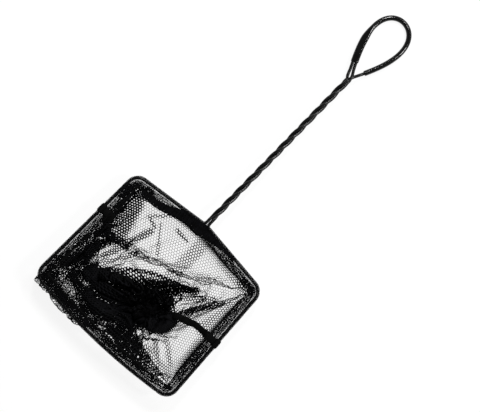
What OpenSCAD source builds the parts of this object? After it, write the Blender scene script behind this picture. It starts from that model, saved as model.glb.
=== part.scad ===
// Aquarium fish net lying on a table, in millimetres.
// One coated wire makes the hoop, the twisted handle and the hanging loop. A bag of netting is
// sewn round the hoop and lies bunched under it. The origin is on the table under the middle of
// the hoop, +Y runs along the handle to the loop, and the wire's plane leans down to the loop.

/* [Wire] */
// Diameter of the bare steel wire
steel_d = 1.9; // [1.2:0.1:2.6]
// Thickness of the plastic coating on the wire
coat_t = 0.4; // [0.2:0.05:0.8]
// Gap between the steel and its coating
coat_gap = 0.02; // [0.01:0.01:0.05]
// Lean of the wire's plane against the table, down to the loop, in degrees
wire_tilt = 3; // [1:0.1:6]

/* [Hoop] */
// Width between the two corners beside the handle, on the wire's centre line
near_w = 145; // [110:1:200]
// Width between the two far corners
far_w = 153.8; // [110:0.2:210]
// How far the near corners lie behind the neck
near_drop = 8.3; // [2:0.1:20]
// Distance from the near corners to the far corners
hoop_depth = 120; // [90:1:170]
// How far the two halves of the far side would meet beyond the far corners
far_bow = 7.7; // [3:0.1:14]
// Bend radius of the wire at the four corners
corner_r = 10; // [9.5:0.5:18]
// Bend radius of the bowed far side
bow_r = 535; // [300:5:560]
// Bend radius where the hoop turns into the handle
neck_r = 4; // [3:0.5:6]

/* [Handle] */
// Length from the neck to the end of the twist
handle_l = 174; // [120:1:260]
// Straight stub of both wires between the neck and the twist
neck_stub = 7; // [6:0.5:12]
// Turns of the twist, always a whole number
twist_turns = 4; // [3:1:5]
// Gap between the three twisted strands
strand_gap = 0.12; // [0.05:0.01:0.4]
// Lean of the handle against the hoop's own axis, in degrees
handle_lean = 1.1; // [-3:0.1:3]

/* [Loop] */
// Length of the hanging loop, from the twist to its far end
loop_l = 68.5; // [50:0.5:100]
// Width of the loop between the wire's centre lines
loop_w = 32.4; // [26:0.2:48]
// How slender the loop's tail is
loop_taper = 1.3; // [1:0.1:2]
// Extra distance that the two wires spread on the bare stretch before the sleeve
pair_spread = 0.45; // [0:0.05:0.8]
// Distance from the twist to the sleeve's first end
sleeve_start = 14.6; // [12:0.2:20]
// Distance from the twist to the sleeve's last end
sleeve_end = 13.4; // [10:0.2:20]
// Distance from the twist to the cut end of the loose tail inside the sleeve
tail_end = 34; // [28:0.5:44]
// Distance from the twist up to which the wire that comes back round the loop lies flat
return_flat = 12; // [9:0.2:12]
// Bore of the sleeve where it is not stretched
sleeve_bore = 3.6; // [3.2:0.1:4.6]
// Wall of the sleeve
sleeve_t = 0.5; // [0.3:0.05:1]

/* [Bag] */
// Width of the hem from the wire's centre line to its inner edge
hem_w = 8; // [5:0.1:9]
// Thickness of the doubled netting in the hem
hem_t = 0.8; // [0.5:0.1:1.4]
// Netting wrapped round the wire
wrap_t = 0.45; // [0.2:0.05:0.8]
// Height that the loosely folded netting takes up, floor and walls alike
net_t = 1.5; // [1:0.1:2.5]
// Slope of the bag's walls, as the share of the way from the middle where they meet the table
foot_share = 0.82; // [0.7:0.01:0.9]
// Height of the heap of slack netting along the far side, above the bag's floor
heap_h = 14; // [6:0.5:15]
// Length of the heap across the bag
heap_l = 108; // [60:1:112]
// Width of the heap along the bag
heap_w = 44; // [30:1:50]
// Distance of the heap behind the middle of the hoop
heap_back = 37; // [30:0.5:38]
// Height of the heap's arm on the left of the bag
arm_h = 11; // [4:0.5:15]
// Length of the arm along the bag
arm_l = 44; // [20:1:46]
// Width of the arm across the bag
arm_w = 40; // [20:1:46]
// Distance of the arm to the left of the middle of the hoop
arm_left = 36; // [20:0.5:38]
// Distance of the arm behind the middle of the hoop
arm_back = 22; // [21:0.5:34]
// Distance of the bag's own middle, where its two halves meet, behind the middle of the hoop
middle_back = 3; // [1:0.5:4]

/* [Seams] */
// Distance from the left near corner to the left seam, along the wire
left_seam_at = 41; // [30:1:80]
// Distance from the right near corner to the right seam
right_seam_at = 58.6; // [30:0.2:80]
// Width of the seam tapes
seam_w = 5; // [3:0.1:7]
// Thickness of the seam tapes
seam_t = 0.8; // [0.4:0.1:1.4]
// Length of the seams' turns round the hem
seam_wrap_w = 8; // [5:0.5:12]
// Thickness of the sewing thread
thread_d = 0.4; // [0.2:0.05:0.6]
// Distance of the hem's stitch line from the hem's inner edge
stitch_in = 1.2; // [0.8:0.1:2]
// Half the width of the gathered netting at the neck
gather_half_w = 26; // [15:0.5:40]
// Depth of the gathered netting at the neck
gather_depth = 13; // [9:0.5:18]
// Thickness of the gathered netting at the neck
gather_t = 1.6; // [0.8:0.1:3]

/* [Hidden] */

$fn = 32;
// Sides of the wire, the sleeve and the thread, and steps along each of them
wire_sides = 8;
sleeve_sides = 12;
hem_sides = 12;
thread_sides = 6;
rings_per_turn = 12;
loop_steps = 44;
bend_steps = 7;
panel_run_steps = 6;
// Clearance between soft pieces that lie on each other
lay_gap = 0.06;
// Share of the handle in which the twist starts and stops
ease_share = 0.04;
// Shares of the way from the middle of the bag to the hem at which its surface is worked out
wall_shares = [1, 0.975, 0.95, 0.92, 0.88, 0.85];
floor_shares = [0.72, 0.6, 0.48, 0.36, 0.24, 0.12];
// Share of the way to the hem at which the seam tapes stop
left_seam_stop_share = 0.62;
right_seam_stop_share = 0.5;
// Bend of the walls between the hem and the floor, and steepness of the heap's flanks
wall_power = 1.5;
heap_steepness = 1.5;
// Openings that stand for the netting's mesh: the share of a cell's width and length that is open
window_share = 0.72;

wire_r = steel_d / 2 + coat_gap + coat_t;
bore_r = steel_d / 2 + coat_gap;
steel_r = steel_d / 2;
close_r = wire_r + strand_gap / 2;
twist_l = handle_l - neck_stub;
// Radius of the helix of the three strands. Straight ones would stand at close_r / cos(30), and
// their slope brings neighbours together by the share under the root.
straight_r = close_r / cos(30);
lay_slope = 2 * PI * straight_r * twist_turns / (twist_l * (1 - ease_share));
twist_r = straight_r / sqrt(1 - pow(lay_slope, 2) / (4 - 2 * pow(lay_slope, 2)));
// Half the distance between the two lower strands, which run on as a pair at both ends
strand_r = twist_r * cos(30);
wrap_bore_r = (wire_r + lay_gap) / cos(180 / hem_sides);
wrap_r = wrap_bore_r + wrap_t;
thread_r = thread_d / 2;
sleeve_r = sleeve_bore / 2;

// Corners of the hoop in the wire's plane, with the neck at the origin
neck = [0, 0];
near_left = [-near_w / 2, -near_drop];
near_right = [near_w / 2, -near_drop];
far_left = [-far_w / 2, -near_drop - hoop_depth];
far_right = [far_w / 2, -near_drop - hoop_depth];
far_middle = [0, -near_drop - hoop_depth - far_bow];
left_seam = near_left + left_seam_at * heading(near_left, far_left);
right_seam = near_right + right_seam_at * heading(near_right, far_right);

// Place of the wire's plane: the sleeve's far end rests on the table
hoop_l = near_drop + hoop_depth + far_bow / 2;
neck_y = hoop_l / 2 * cos(wire_tilt);
rest_r = (sleeve_r + sleeve_t) / cos(180 / sleeve_sides) * cos(180 / sleeve_sides - wire_tilt);
neck_z = (handle_l + loop_l) * cos(handle_lean) * sin(wire_tilt) + rest_r;

handle_dir = [sin(handle_lean), cos(handle_lean)];
handle_right = [cos(handle_lean), -sin(handle_lean)];

// Plane geometry

// The direction from a to b
function heading(a, b) = (b - a) / norm(b - a);

// The normal on the left of a direction
function left_of(d) = [-d.y, d.x];

// The signed turn at b on the way from a to c, positive to the left
function turn_at(a, b, c) =
    let (d = heading(a, b), e = heading(b, c))
    atan2(d.x * e.y - d.y * e.x, d * e);

// Where the line through p along d crosses the line through q along e
function crossing(p, d, q, e) =
    p + d * ((q.x - p.x) * e.y - (q.y - p.y) * e.x) / (d.x * e.y - d.y * e.x);

// How far before a rounded corner its arc starts
function run_in(v, r, i) =
    i <= 0 || i >= len(v) - 1 ? 0 : r[i] * tan(abs(turn_at(v[i - 1], v[i], v[i + 1])) / 2);

// Samples of a rounded path as [point, normal on the left]: the arc at corner i
function arc_samples(v, r, i, steps) =
    let (
        d = heading(v[i - 1], v[i]),
        turn = turn_at(v[i - 1], v[i], v[i + 1]),
        start = v[i] - run_in(v, r, i) * d,
        side = sign(turn),
        middle = start + side * r[i] * left_of(d)
    )
    [
        for (k = [0:steps])
            let (
                a = turn * k / steps,
                n = left_of([d.x * cos(a) - d.y * sin(a), d.x * sin(a) + d.y * cos(a)])
            )
            [middle - side * r[i] * n, n]
    ];

// The same on the straight run from corner i to corner i + 1
function run_samples(v, r, i, steps) =
    let (
        d = heading(v[i], v[i + 1]),
        a = v[i] + run_in(v, r, i) * d,
        b = v[i + 1] - run_in(v, r, i + 1) * d,
        first = i == 0 ? 0 : 1,
        last = i + 1 == len(v) - 1 ? steps : steps - 1
    )
    [for (k = [first:last]) [a + (b - a) * k / steps, left_of(d)]];

function path_samples(v, r, arc_steps, run_steps) = [
    for (i = [0:len(v) - 2])
        each concat(
            run_samples(v, r, i, run_steps),
            i + 1 < len(v) - 1 ? arc_samples(v, r, i + 1, arc_steps) : []
        )
];

// Rings of a flat profile carried along a path. The profile's x points to the left of the way
// and its y away from the table.
function carried(profile, samples) = [
    for (s = samples) [for (q = profile) [s[0].x + q.x * s[1].x, s[0].y + q.x * s[1].y, q.y]]
];

function round_profile(r, sides) = [
    for (k = [0:sides - 1]) [r * cos(360 * k / sides), r * sin(360 * k / sides)]
];

// Places what is drawn in the wire's plane, and does the same for one point
module in_wire_plane() {
    translate([0, neck_y, neck_z]) rotate([-wire_tilt, 0, 0]) children();
}

function world(p) = [p.x, neck_y + p.y * cos(wire_tilt), neck_z - p.y * sin(wire_tilt)];

// Solids from rings of points

function quad(a, b, c, d) = [[a, b, c], [a, c, d]];

function tube_faces(rings, sides, first, out) = [
    for (i = [0:rings - 2], k = [0:sides - 1])
        let (
            a = first + i * sides + k,
            b = first + i * sides + (k + 1) % sides
        )
        each out ? quad(a, a + sides, b + sides, b) : quad(a, b, b + sides, a + sides)
];

// A closed rod through the given rings
module rod(rings) {
    sides = len(rings[0]);
    last = (len(rings) - 1) * sides;
    polyhedron(
        [for (ring = rings) each ring],
        concat(
            tube_faces(len(rings), sides, 0, true),
            [[for (k = [0:sides - 1]) k]],
            [[for (k = [sides - 1:-1:0]) last + k]]
        )
    );
}

// A tube with its own outer and inner rings
module tube(outer, inner) {
    sides = len(outer[0]);
    n = len(outer);
    bore = n * sides;
    last = (n - 1) * sides;
    polyhedron(
        concat([for (ring = outer) each ring], [for (ring = inner) each ring]),
        concat(
            tube_faces(n, sides, 0, true),
            tube_faces(n, sides, bore, false),
            [
                for (k = [0:sides - 1])
                    let (j = (k + 1) % sides)
                    each quad(k, j, bore + j, bore + k)
            ],
            [
                for (k = [0:sides - 1])
                    let (j = (k + 1) % sides)
                    each quad(last + j, last + k, bore + last + k, bore + last + j)
            ]
        )
    );
}

// The hoop

// Where the strand beside the handle's axis meets the hoop's near side
left_bend = crossing(-strand_r * handle_right, handle_dir, neck, near_left);
right_bend = crossing(strand_r * handle_right, handle_dir, neck, near_right);
hoop_samples = path_samples(
    [
        neck_stub * handle_dir - strand_r * handle_right,
        left_bend, near_left, far_left, far_middle, far_right, near_right, right_bend,
        neck_stub * handle_dir + strand_r * handle_right
    ],
    [0, neck_r, corner_r, corner_r, bow_r, corner_r, corner_r, neck_r, 0],
    bend_steps, 1
);

function hoop_rings(r) = carried(round_profile(r, wire_sides), hoop_samples);

module hoop_wire() {
    color("silver") in_wire_plane() rod(hoop_rings(steel_r));
}

module hoop_coating() {
    color("black") in_wire_plane() tube(hoop_rings(wire_r), hoop_rings(bore_r));
}

// The twisted handle

// The twist's progress from 0 to 1, with no turn at the two ends
function eased(u) =
    u > 0.5 ? 1 - eased(1 - u)
    : u < ease_share
        ? (u / 2 - ease_share / PI / 2 * sin(180 * u / ease_share)) / (1 - ease_share)
    : (u - ease_share / 2) / (1 - ease_share);

twist_steps = ceil(twist_turns * rings_per_turn);

// Where the right strand of the pair starts round the helix
pair_phase = -30;

// A strand's centre at share u of the twist, in the handle's own frame
function strand_at(u, phase) =
    let (a = phase - 360 * twist_turns * eased(u))
    [twist_r * cos(a), neck_stub + twist_l * u, twist_r * (sin(a) - sin(pair_phase))];

function strand_heading(u, phase) =
    let (step = 0.1 / twist_steps)
    u == 0 || u == 1 ? [0, 1, 0] : heading(strand_at(u - step, phase), strand_at(u + step, phase));

function strand_ring(u, phase, r) =
    let (
        a = phase - 360 * twist_turns * eased(u),
        t = strand_heading(u, phase),
        n = [cos(a), 0, sin(a)],
        b = cross(t, n)
    )
    [
        for (k = [0:wire_sides - 1])
            let (f = 360 * k / wire_sides + a)
            strand_at(u, phase) + r * cos(f) * n + r * sin(f) * b
    ];

function strand_rings(phase, r) = [
    for (i = [0:twist_steps]) strand_ring(i / twist_steps, phase, r)
];

module in_handle_frame() {
    in_wire_plane() rotate([0, 0, -handle_lean]) children();
}

module strand_wire(phase) {
    in_handle_frame() rod(strand_rings(phase, steel_r));
}

module strand_coating(phase) {
    in_handle_frame() tube(strand_rings(phase, wire_r), strand_rings(phase, bore_r));
}

module left_strand_wire() {
    color("silver") strand_wire(180 - pair_phase);
}

module left_strand_coating() {
    color("black") strand_coating(180 - pair_phase);
}

module right_strand_wire() {
    color("silver") strand_wire(pair_phase);
}

module right_strand_coating() {
    color("black") strand_coating(pair_phase);
}

module middle_strand_wire() {
    color("silver") strand_wire(90);
}

module middle_strand_coating() {
    color("black") strand_coating(90);
}

// The hanging loop: a teardrop x = a sin t sin(t/2)^taper, y = b (1 - cos t), t from the twist,
// up the left side, over the far end at 180 degrees and down the right side. There the wire that
// comes back climbs over the pair to the top of the twist.

loop_b = loop_l / 2;
widest = atan(sqrt(loop_taper + 1));
loop_a = loop_w / 4 / (pow(sin(widest), loop_taper + 1) * cos(widest));

function smooth(x) = let (c = min(max(x, 0), 1)) c * c * (3 - 2 * c);

// Where the wires have bent out of the twist
splay_angle = 20;
// Height over the pair that the wire needs to cross it, and over the loop's plane at the angle t
cross_rise = 2 * close_r + lay_gap;
splay_y = loop_b * (1 - cos(splay_angle));
function return_rise(t) =
    t < 180 ? 0
    : t == 360 ? twist_r * (1 - sin(pair_phase))
    : cross_rise * smooth((return_flat - loop_b * (1 - cos(t))) / (return_flat - splay_y));

function drop_at(t) = [
    -loop_a * sin(t) * pow(abs(sin(t / 2)), loop_taper),
    handle_l + loop_b * (1 - cos(t)),
    return_rise(t)
];

function drop_heading(t) =
    t == 0 ? [0, 1, 0]
    : t == 360 ? [0, -1, 0]
    : heading(drop_at(t - 0.5), drop_at(min(t + 0.5, 359.5)));

// The angle at which the loop has gone a distance y from the twist, on the left side
function drop_angle(y) = acos(1 - y / loop_b);

sleeve_t0 = drop_angle(sleeve_start);
sleeve_t1 = 360 - drop_angle(sleeve_end);
tail_t1 = drop_angle(tail_end);
// Past the tail's cut end the sleeve relaxes, over this angle, round the one wire that is left
relax_angle = 24;

// How much of the pair is there: 1 while both wires run side by side, 0 once only one is left
function paired(t) = 1 - smooth((t - tail_t1) / relax_angle);

// Distance of either wire from the loop's own line
function spread(t) =
    (strand_r + pair_spread * pow(sin(180 * smooth(t / sleeve_t0)), 2)) * paired(t);

// A ring round the loop's line, pushed aside to the loop's inside by the offset, with its two
// halves drawn apart by the stretch on either side
function drop_ring(t, offset, r, stretch, sides) =
    let (
        d = drop_heading(t),
        inside = [d.y, -d.x, 0] / norm([d.x, d.y]),
        over = cross(inside, d)
    )
    [
        for (k = [0:sides - 1])
            let (f = 360 * (k + 0.5) / sides)
            drop_at(t) + (offset - r * cos(f) - stretch * sign(cos(f))) * inside + r * sin(f) * over
    ];

function drop_steps(t0, t1) =
    let (n = ceil((t1 - t0) / 360 * loop_steps))
    [for (i = [0:n]) t0 + (t1 - t0) * i / n];

function loop_rings(r) = [
    for (t = concat(0, drop_steps(splay_angle, 360 - splay_angle), 360))
        drop_ring(t, spread(t), r, 0, wire_sides)
];

function tail_rings(r) = [
    for (t = concat(0, drop_steps(splay_angle, tail_t1)))
        drop_ring(t, -spread(t), r, 0, wire_sides)
];

// The sleeve lies close round the pair and stands off the one wire
function sleeve_bore_r(t) = sleeve_r - (sleeve_r - wire_r - lay_gap) * paired(t);

function sleeve_rings(wall) = [
    for (t = drop_steps(sleeve_t0, sleeve_t1))
        drop_ring(
            t, 0,
            (sleeve_bore_r(t) + wall) / cos(180 / sleeve_sides),
            spread(t), sleeve_sides
        )
];

module loop_wire() {
    color("silver") in_handle_frame() rod(loop_rings(steel_r));
}

module loop_coating() {
    color("black") in_handle_frame() tube(loop_rings(wire_r), loop_rings(bore_r));
}

module tail_wire() {
    color("silver") in_handle_frame() rod(tail_rings(steel_r));
}

module tail_coating() {
    color("black") in_handle_frame() tube(tail_rings(wire_r), tail_rings(bore_r));
}

module loop_sleeve() {
    color([0.08, 0.08, 0.09]) in_handle_frame() tube(sleeve_rings(sleeve_t), sleeve_rings(0));
}

// The hem

// The hem and the stitch line stop short of the neck on the near side
hem_start = neck_r + wire_r + strand_r;
stitch_start = gather_half_w + thread_d;

function near_run(start) = start * heading(neck, near_left);
function mirrored(p) = [-p.x, p.y];

// The hem's outline: a tail as thick as the doubled netting, and the turn round the wire
hem_root_angle = asin(hem_t / 2 / wrap_r);
hem_step = 360 / hem_sides;
hem_turn_angles = [for (k = [2:hem_sides - 2]) hem_step * k];
hem_outline = concat(
    [[hem_w, -hem_t / 2], [hem_w, hem_t / 2]],
    [for (a = concat(hem_root_angle, hem_turn_angles, -hem_root_angle)) wrap_r * [cos(a), sin(a)]]
);
hem_bore = [
    for (
        a = concat(
            -hem_root_angle / 2, hem_root_angle / 2, hem_step, hem_turn_angles, -hem_step
        )
    )
        wrap_bore_r * [cos(a), sin(a)]
];
stitch_outline = [
    for (q = round_profile(thread_r, thread_sides))
        [hem_w - stitch_in, hem_t / 2 + lay_gap + thread_r] + q
];

// The stretches of the hoop that the hem follows: from the neck round to the left seam, from
// the left seam along the far side to the right seam, and back to the neck
function left_run(start) = path_samples(
    [near_run(start), near_left, left_seam],
    [0, corner_r, 0], bend_steps, 1
);

function right_run(start) = path_samples(
    [right_seam, near_right, mirrored(near_run(start))],
    [0, corner_r, 0], bend_steps, 1
);

far_run = path_samples(
    [left_seam, far_left, far_middle, far_right, right_seam],
    [0, corner_r, bow_r, corner_r, 0], bend_steps, 1
);

module hem(samples) {
    color([0.15, 0.15, 0.16]) in_wire_plane()
        tube(carried(hem_outline, samples), carried(hem_bore, samples));
}

module front_hem() {
    hem(left_run(hem_start));
    hem(right_run(hem_start));
}

module back_hem() {
    hem(far_run);
}

module hem_stitching() {
    color([0.05, 0.05, 0.05]) in_wire_plane() {
        rod(carried(stitch_outline, left_run(stitch_start)));
        rod(carried(stitch_outline, right_run(stitch_start)));
        rod(carried(stitch_outline, far_run));
    }
}

// The bag: every point of its top edge is drawn in to the middle of the bag, and falls to the
// table on the way

bag_middle = [0, -middle_back];
edge_in = hem_w + lay_gap;

// The edge of a panel in the room, as [x, y, height of its underside]
function panel_edge(samples) = [
    for (s = samples)
        let (p = world(s[0] + edge_in * s[1]))
        [p.x, p.y, p.z + hem_t / 2 - net_t]
];

function fall(share) = pow(max(share - foot_share, 0) / (1 - foot_share), wall_power);

// A mound of length l across the bag and width w along it, round the middle [0, 0]
function mound(x, y, l, w, h) =
    let (u = 2 * x / l, v = 2 * y / w)
    h * smooth(heap_steepness * (1 - u * u - v * v));

// The heap of slack netting, as its height above the bag's floor
function heap(x, y) =
    max(
        mound(x, y + heap_back, heap_l, heap_w, heap_h),
        mound(x + arm_left, y + arm_back, arm_w, arm_l, arm_h)
    );

function drawn_in(edge, share, lift) =
    let (
        x = bag_middle.x + share * (edge.x - bag_middle.x),
        y = bag_middle.y + share * (edge.y - bag_middle.y),
        wall = edge.z * fall(share)
    )
    [x, y, lift > 0 ? max(wall, heap(x, y)) + lift : wall];

panel_shares = concat(wall_shares, [foot_share], floor_shares);
window_min = 2 * net_t;

// The points of a cell's window, drawn in from its four corners
function window(corners) =
    let (middle = (corners[0] + corners[1] + corners[2] + corners[3]) / 4)
    [for (p = corners) middle + window_share * (p - middle)];

// A cell has a window where the netting lies flat in one layer and the cell isn't a mere sliver
function has_window(corners) =
    max([for (p = corners) p.z]) < net_t + lay_gap
    && min(norm(corners[1] - corners[0]), norm(corners[2] - corners[3])) > window_min;

// The four sides of a window's frame, from the outer corners o to the inner corners w
function frame_faces(o, w) = [
    for (e = [0:3])
        let (f = (e + 1) % 4)
        each quad(o[e], o[f], w[f], w[e])
];

function turned(c) = [c[3], c[2], c[1], c[0]];

// A panel is a fan of rays from its edge to the middle, with a top and an underside. Where it is
// one flat layer of netting, each cell between two rays has a window
module panel(samples) {
    edge = panel_edge(samples);
    n = len(edge);
    m = len(panel_shares);
    under = n * m;
    top_middle = 2 * under;
    low_middle = top_middle + 1;
    tops = [for (e = edge, s = panel_shares) drawn_in(e, s, net_t)];
    lows = [for (e = edge, s = panel_shares) drawn_in(e, s, 0)];
    cells = [
        for (i = [0:n - 2], j = [0:m - 2])
            let (a = i * m + j, b = a + m)
            [a, b, b + 1, a + 1]
    ];
    open = [for (c = cells) if (has_window([for (k = c) tops[k]])) c];
    shut = [for (c = cells) if (!has_window([for (k = c) tops[k]])) c];
    window_top = low_middle + 1;
    window_low = window_top + 4 * len(open);
    polyhedron(
        concat(
            tops,
            lows,
            [[bag_middle.x, bag_middle.y, net_t], [bag_middle.x, bag_middle.y, 0]],
            [for (c = open) each window([for (k = c) tops[k]])],
            [for (c = open) each window([for (k = c) lows[k]])]
        ),
        concat(
            [for (c = shut) each quad(c[0], c[1], c[2], c[3])],
            [for (c = shut) each quad(under + c[0], under + c[3], under + c[2], under + c[1])],
            [
                for (i = [0:len(open) - 1])
                    let (
                        c = open[i],
                        w = [for (k = [0:3]) window_top + 4 * i + k],
                        l = [for (k = [0:3]) window_low + 4 * i + k]
                    )
                    each concat(
                        frame_faces(c, w),
                        frame_faces(turned([for (k = c) under + k]), turned(l)),
                        frame_faces(w, l)
                    )
            ],
            [for (i = [0:n - 2]) [i * m + m - 1, (i + 2) * m - 1, top_middle]],
            [for (i = [0:n - 2]) [under + (i + 2) * m - 1, under + i * m + m - 1, low_middle]],
            [for (i = [0:n - 2]) each quad(i * m, under + i * m, under + (i + 1) * m, (i + 1) * m)],
            [for (j = [0:m - 2]) each quad(j, j + 1, under + j + 1, under + j)],
            quad(m - 1, top_middle, low_middle, under + m - 1),
            let (f = (n - 1) * m)
            concat(
                [
                    for (j = [0:m - 2])
                        each quad(f + j + 1, f + j, under + f + j, under + f + j + 1)
                ],
                quad(top_middle, f + m - 1, under + f + m - 1, low_middle)
            )
        )
    );
}

front_samples = path_samples(
    [right_seam, near_right, neck, near_left, left_seam],
    [0, corner_r, corner_r, corner_r, 0],
    bend_steps, panel_run_steps
);
back_samples = path_samples(
    [left_seam, far_left, far_middle, far_right, right_seam],
    [0, corner_r, bow_r, corner_r, 0],
    bend_steps, panel_run_steps
);

module front_panel() {
    color([0.3, 0.3, 0.32]) translate([0, lay_gap / 2, 0]) panel(front_samples);
}

module back_panel() {
    color([0.2, 0.2, 0.22]) translate([0, -lay_gap / 2, 0]) panel(back_samples);
}

// The seams: a turn round the hem, and a tape on the seam between the two panels

module seam_wrap_profile() {
    gap_t = hem_t + 2 * lay_gap;
    arm = hem_w - stitch_in - thread_r - lay_gap;
    difference() {
        union() {
            circle(wrap_r + lay_gap + seam_t);
            translate([0, -gap_t / 2 - seam_t]) square([arm, gap_t + 2 * seam_t]);
        }
        circle(wrap_r + lay_gap);
        translate([0, -gap_t / 2]) square([hem_w, gap_t]);
    }
}

module seam_wrap(at, way) {
    start = at - seam_wrap_w / 2 * way;
    in_wire_plane()
        translate([start.x, start.y, 0])
            rotate([90, 0, atan2(way.y, way.x) + 90])
                linear_extrude(seam_wrap_w) seam_wrap_profile();
}

// A ring of the tape or the thread on the panels, at a share of the way from the middle
function tape_point(at, way, inward, share, aside, rise) =
    let (
        edge = world(at + edge_in * inward + aside / share * way),
        x = bag_middle.x + share * (edge.x - bag_middle.x),
        y = bag_middle.y + share * (edge.y - bag_middle.y)
    )
    [x, y, (edge.z + hem_t / 2 - net_t) * fall(share) + net_t + lay_gap + rise];

function tape_shares(stop) = concat(wall_shares, [foot_share, (foot_share + stop) / 2, stop]);

module seam_tape(at, way, inward, stop) {
    rod([
        for (s = tape_shares(stop)) [
            tape_point(at, way, inward, s, -seam_w / 2, 0),
            tape_point(at, way, inward, s, -seam_w / 2, seam_t),
            tape_point(at, way, inward, s, seam_w / 2, seam_t),
            tape_point(at, way, inward, s, seam_w / 2, 0)
        ]
    ]);
}

module seam_thread(at, way, inward, stop) {
    lift = seam_t + lay_gap + thread_r;
    rod([
        for (s = tape_shares(stop)) [
            for (k = [thread_sides - 1:-1:0])
                let (f = 360 * k / thread_sides)
                tape_point(at, way, inward, s, thread_r * cos(f), lift + thread_r * sin(f))
        ]
    ]);
}

left_way = heading(near_left, far_left);
right_way = heading(far_right, near_right);

module left_seam() {
    color("black") {
        seam_wrap(left_seam, left_way);
        seam_tape(left_seam, left_way, left_of(left_way), left_seam_stop_share);
    }
}

module right_seam() {
    color("black") {
        seam_wrap(right_seam, right_way);
        seam_tape(right_seam, right_way, left_of(right_way), right_seam_stop_share);
    }
}

module left_seam_stitching() {
    color([0.05, 0.05, 0.05])
        seam_thread(left_seam, left_way, left_of(left_way), left_seam_stop_share);
}

module right_seam_stitching() {
    color([0.05, 0.05, 0.05])
        seam_thread(right_seam, right_way, left_of(right_way), right_seam_stop_share);
}

// The gathered netting at the neck: a crescent on the hem's two ends
module neck_gather() {
    steps = 12;
    slope = near_drop / (near_w / 2);
    rim = wrap_r + lay_gap;
    xs = [for (i = [-steps:steps]) gather_half_w * i / steps];
    color("black") in_wire_plane()
        translate([0, 0, hem_t / 2 + lay_gap])
            linear_extrude(gather_t)
                polygon(concat(
                    [for (x = xs) [x, -slope * abs(x) - rim]],
                    [
                        for (i = [2 * steps:-1:0])
                            let (x = xs[i], u = x / gather_half_w)
                            [x, -slope * abs(x) - rim - seam_t - gather_depth * (1 - u * u)]
                    ]
                ));
}

hoop_wire();
hoop_coating();
left_strand_wire();
left_strand_coating();
right_strand_wire();
right_strand_coating();
middle_strand_wire();
middle_strand_coating();
loop_wire();
loop_coating();
tail_wire();
tail_coating();
loop_sleeve();
front_panel();
back_panel();
front_hem();
back_hem();
hem_stitching();
left_seam();
right_seam();
left_seam_stitching();
right_seam_stitching();
neck_gather();
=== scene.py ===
# %% [markdown]
# # An aquarium fish net
# The net lies on a white table and is seen from straight above. A coated wire makes the hoop, the
# twisted handle and the hanging loop. A bag of black netting is sewn round the hoop and has dropped
# in a heap under it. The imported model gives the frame: every piece here stands at a node's place.
# Before each step a few lines say what the real thing is, how it could be made, and why it is made
# this way.

import math
from itertools import accumulate

import bpy
import numpy as np
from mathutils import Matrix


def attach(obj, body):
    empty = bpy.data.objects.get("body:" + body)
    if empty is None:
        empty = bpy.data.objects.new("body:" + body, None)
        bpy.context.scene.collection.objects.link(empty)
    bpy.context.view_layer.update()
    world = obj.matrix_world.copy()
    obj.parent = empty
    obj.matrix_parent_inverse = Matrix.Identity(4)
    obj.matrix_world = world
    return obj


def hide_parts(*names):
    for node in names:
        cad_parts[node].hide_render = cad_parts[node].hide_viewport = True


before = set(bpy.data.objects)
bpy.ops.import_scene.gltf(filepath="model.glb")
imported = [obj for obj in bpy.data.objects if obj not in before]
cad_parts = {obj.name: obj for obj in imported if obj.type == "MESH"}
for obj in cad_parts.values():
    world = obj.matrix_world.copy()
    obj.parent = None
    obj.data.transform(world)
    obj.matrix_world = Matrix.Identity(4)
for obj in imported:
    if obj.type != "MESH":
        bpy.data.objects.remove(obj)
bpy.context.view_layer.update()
MM = 0.001
print("nodes in the frame:", len(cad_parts))

# %% [markdown]
# ## Sizes
# These are the driving sizes of the construction, in metres. The hoop is drawn in the wire's own
# plane, with its near corner, the neck, at the origin and +y along the handle. That plane leans
# down to the loop by three degrees, because the hoop lies on the bunched bag. COAT_R is the coated
# wire's radius, CLOSE_R is half the distance between two wires that touch, and LAY is the gap left
# between other neighbours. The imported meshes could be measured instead, but a formula from named
# sizes also says why a piece is where it is.

# %% Sizes of the wire and the hoop
STEEL_R = 0.95 * MM
COAT_R = 1.37 * MM
CLOSE_R = 1.43 * MM
NEAR_W = 145 * MM
FAR_W = 153.8 * MM
NEAR_DROP = 8.3 * MM
HOOP_DEPTH = 120 * MM
FAR_BOW = 7.7 * MM
CORNER_R = 10 * MM
BOW_R = 535 * MM
NECK_R = 4 * MM
NECK_STUB = 7 * MM
LEFT_SEAM_AT = 41 * MM
RIGHT_SEAM_AT = 58.6 * MM
WIRE_TILT = math.radians(3)
LAY = 0.06 * MM
print("hoop, wide and deep:", FAR_W, HOOP_DEPTH)

# %% Sizes of the handle and the loop
HANDLE_L = 174 * MM
HANDLE_LEAN = math.radians(1.1)
TWIST_TURNS = 4
EASE_SHARE = 0.04
PAIR_PHASE = math.radians(-30)
STRAIGHT_R = CLOSE_R / math.cos(math.radians(30))
LAY_SLOPE = 2 * math.pi * STRAIGHT_R * TWIST_TURNS / ((HANDLE_L - NECK_STUB) * (1 - EASE_SHARE))
TWIST_R = STRAIGHT_R / math.sqrt(1 - LAY_SLOPE ** 2 / (4 - 2 * LAY_SLOPE ** 2))
STRAND_R = TWIST_R * math.cos(math.radians(30))
LOOP_L = 68.5 * MM
LOOP_W = 32.4 * MM
LOOP_TAPER = 1.3
PAIR_SPREAD = 0.45 * MM
SLEEVE_START = 14.6 * MM
SLEEVE_END = 13.4 * MM
TAIL_END = 34 * MM
RETURN_FLAT = 12 * MM
CROSS_RISE = 2 * CLOSE_R + LAY
SLEEVE_R = 1.8 * MM
SLEEVE_T = 0.5 * MM
RELAX = math.radians(24)
SPLAY = math.radians(20)
print("the twist's radius in mm:", round(TWIST_R / MM, 3))

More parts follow.
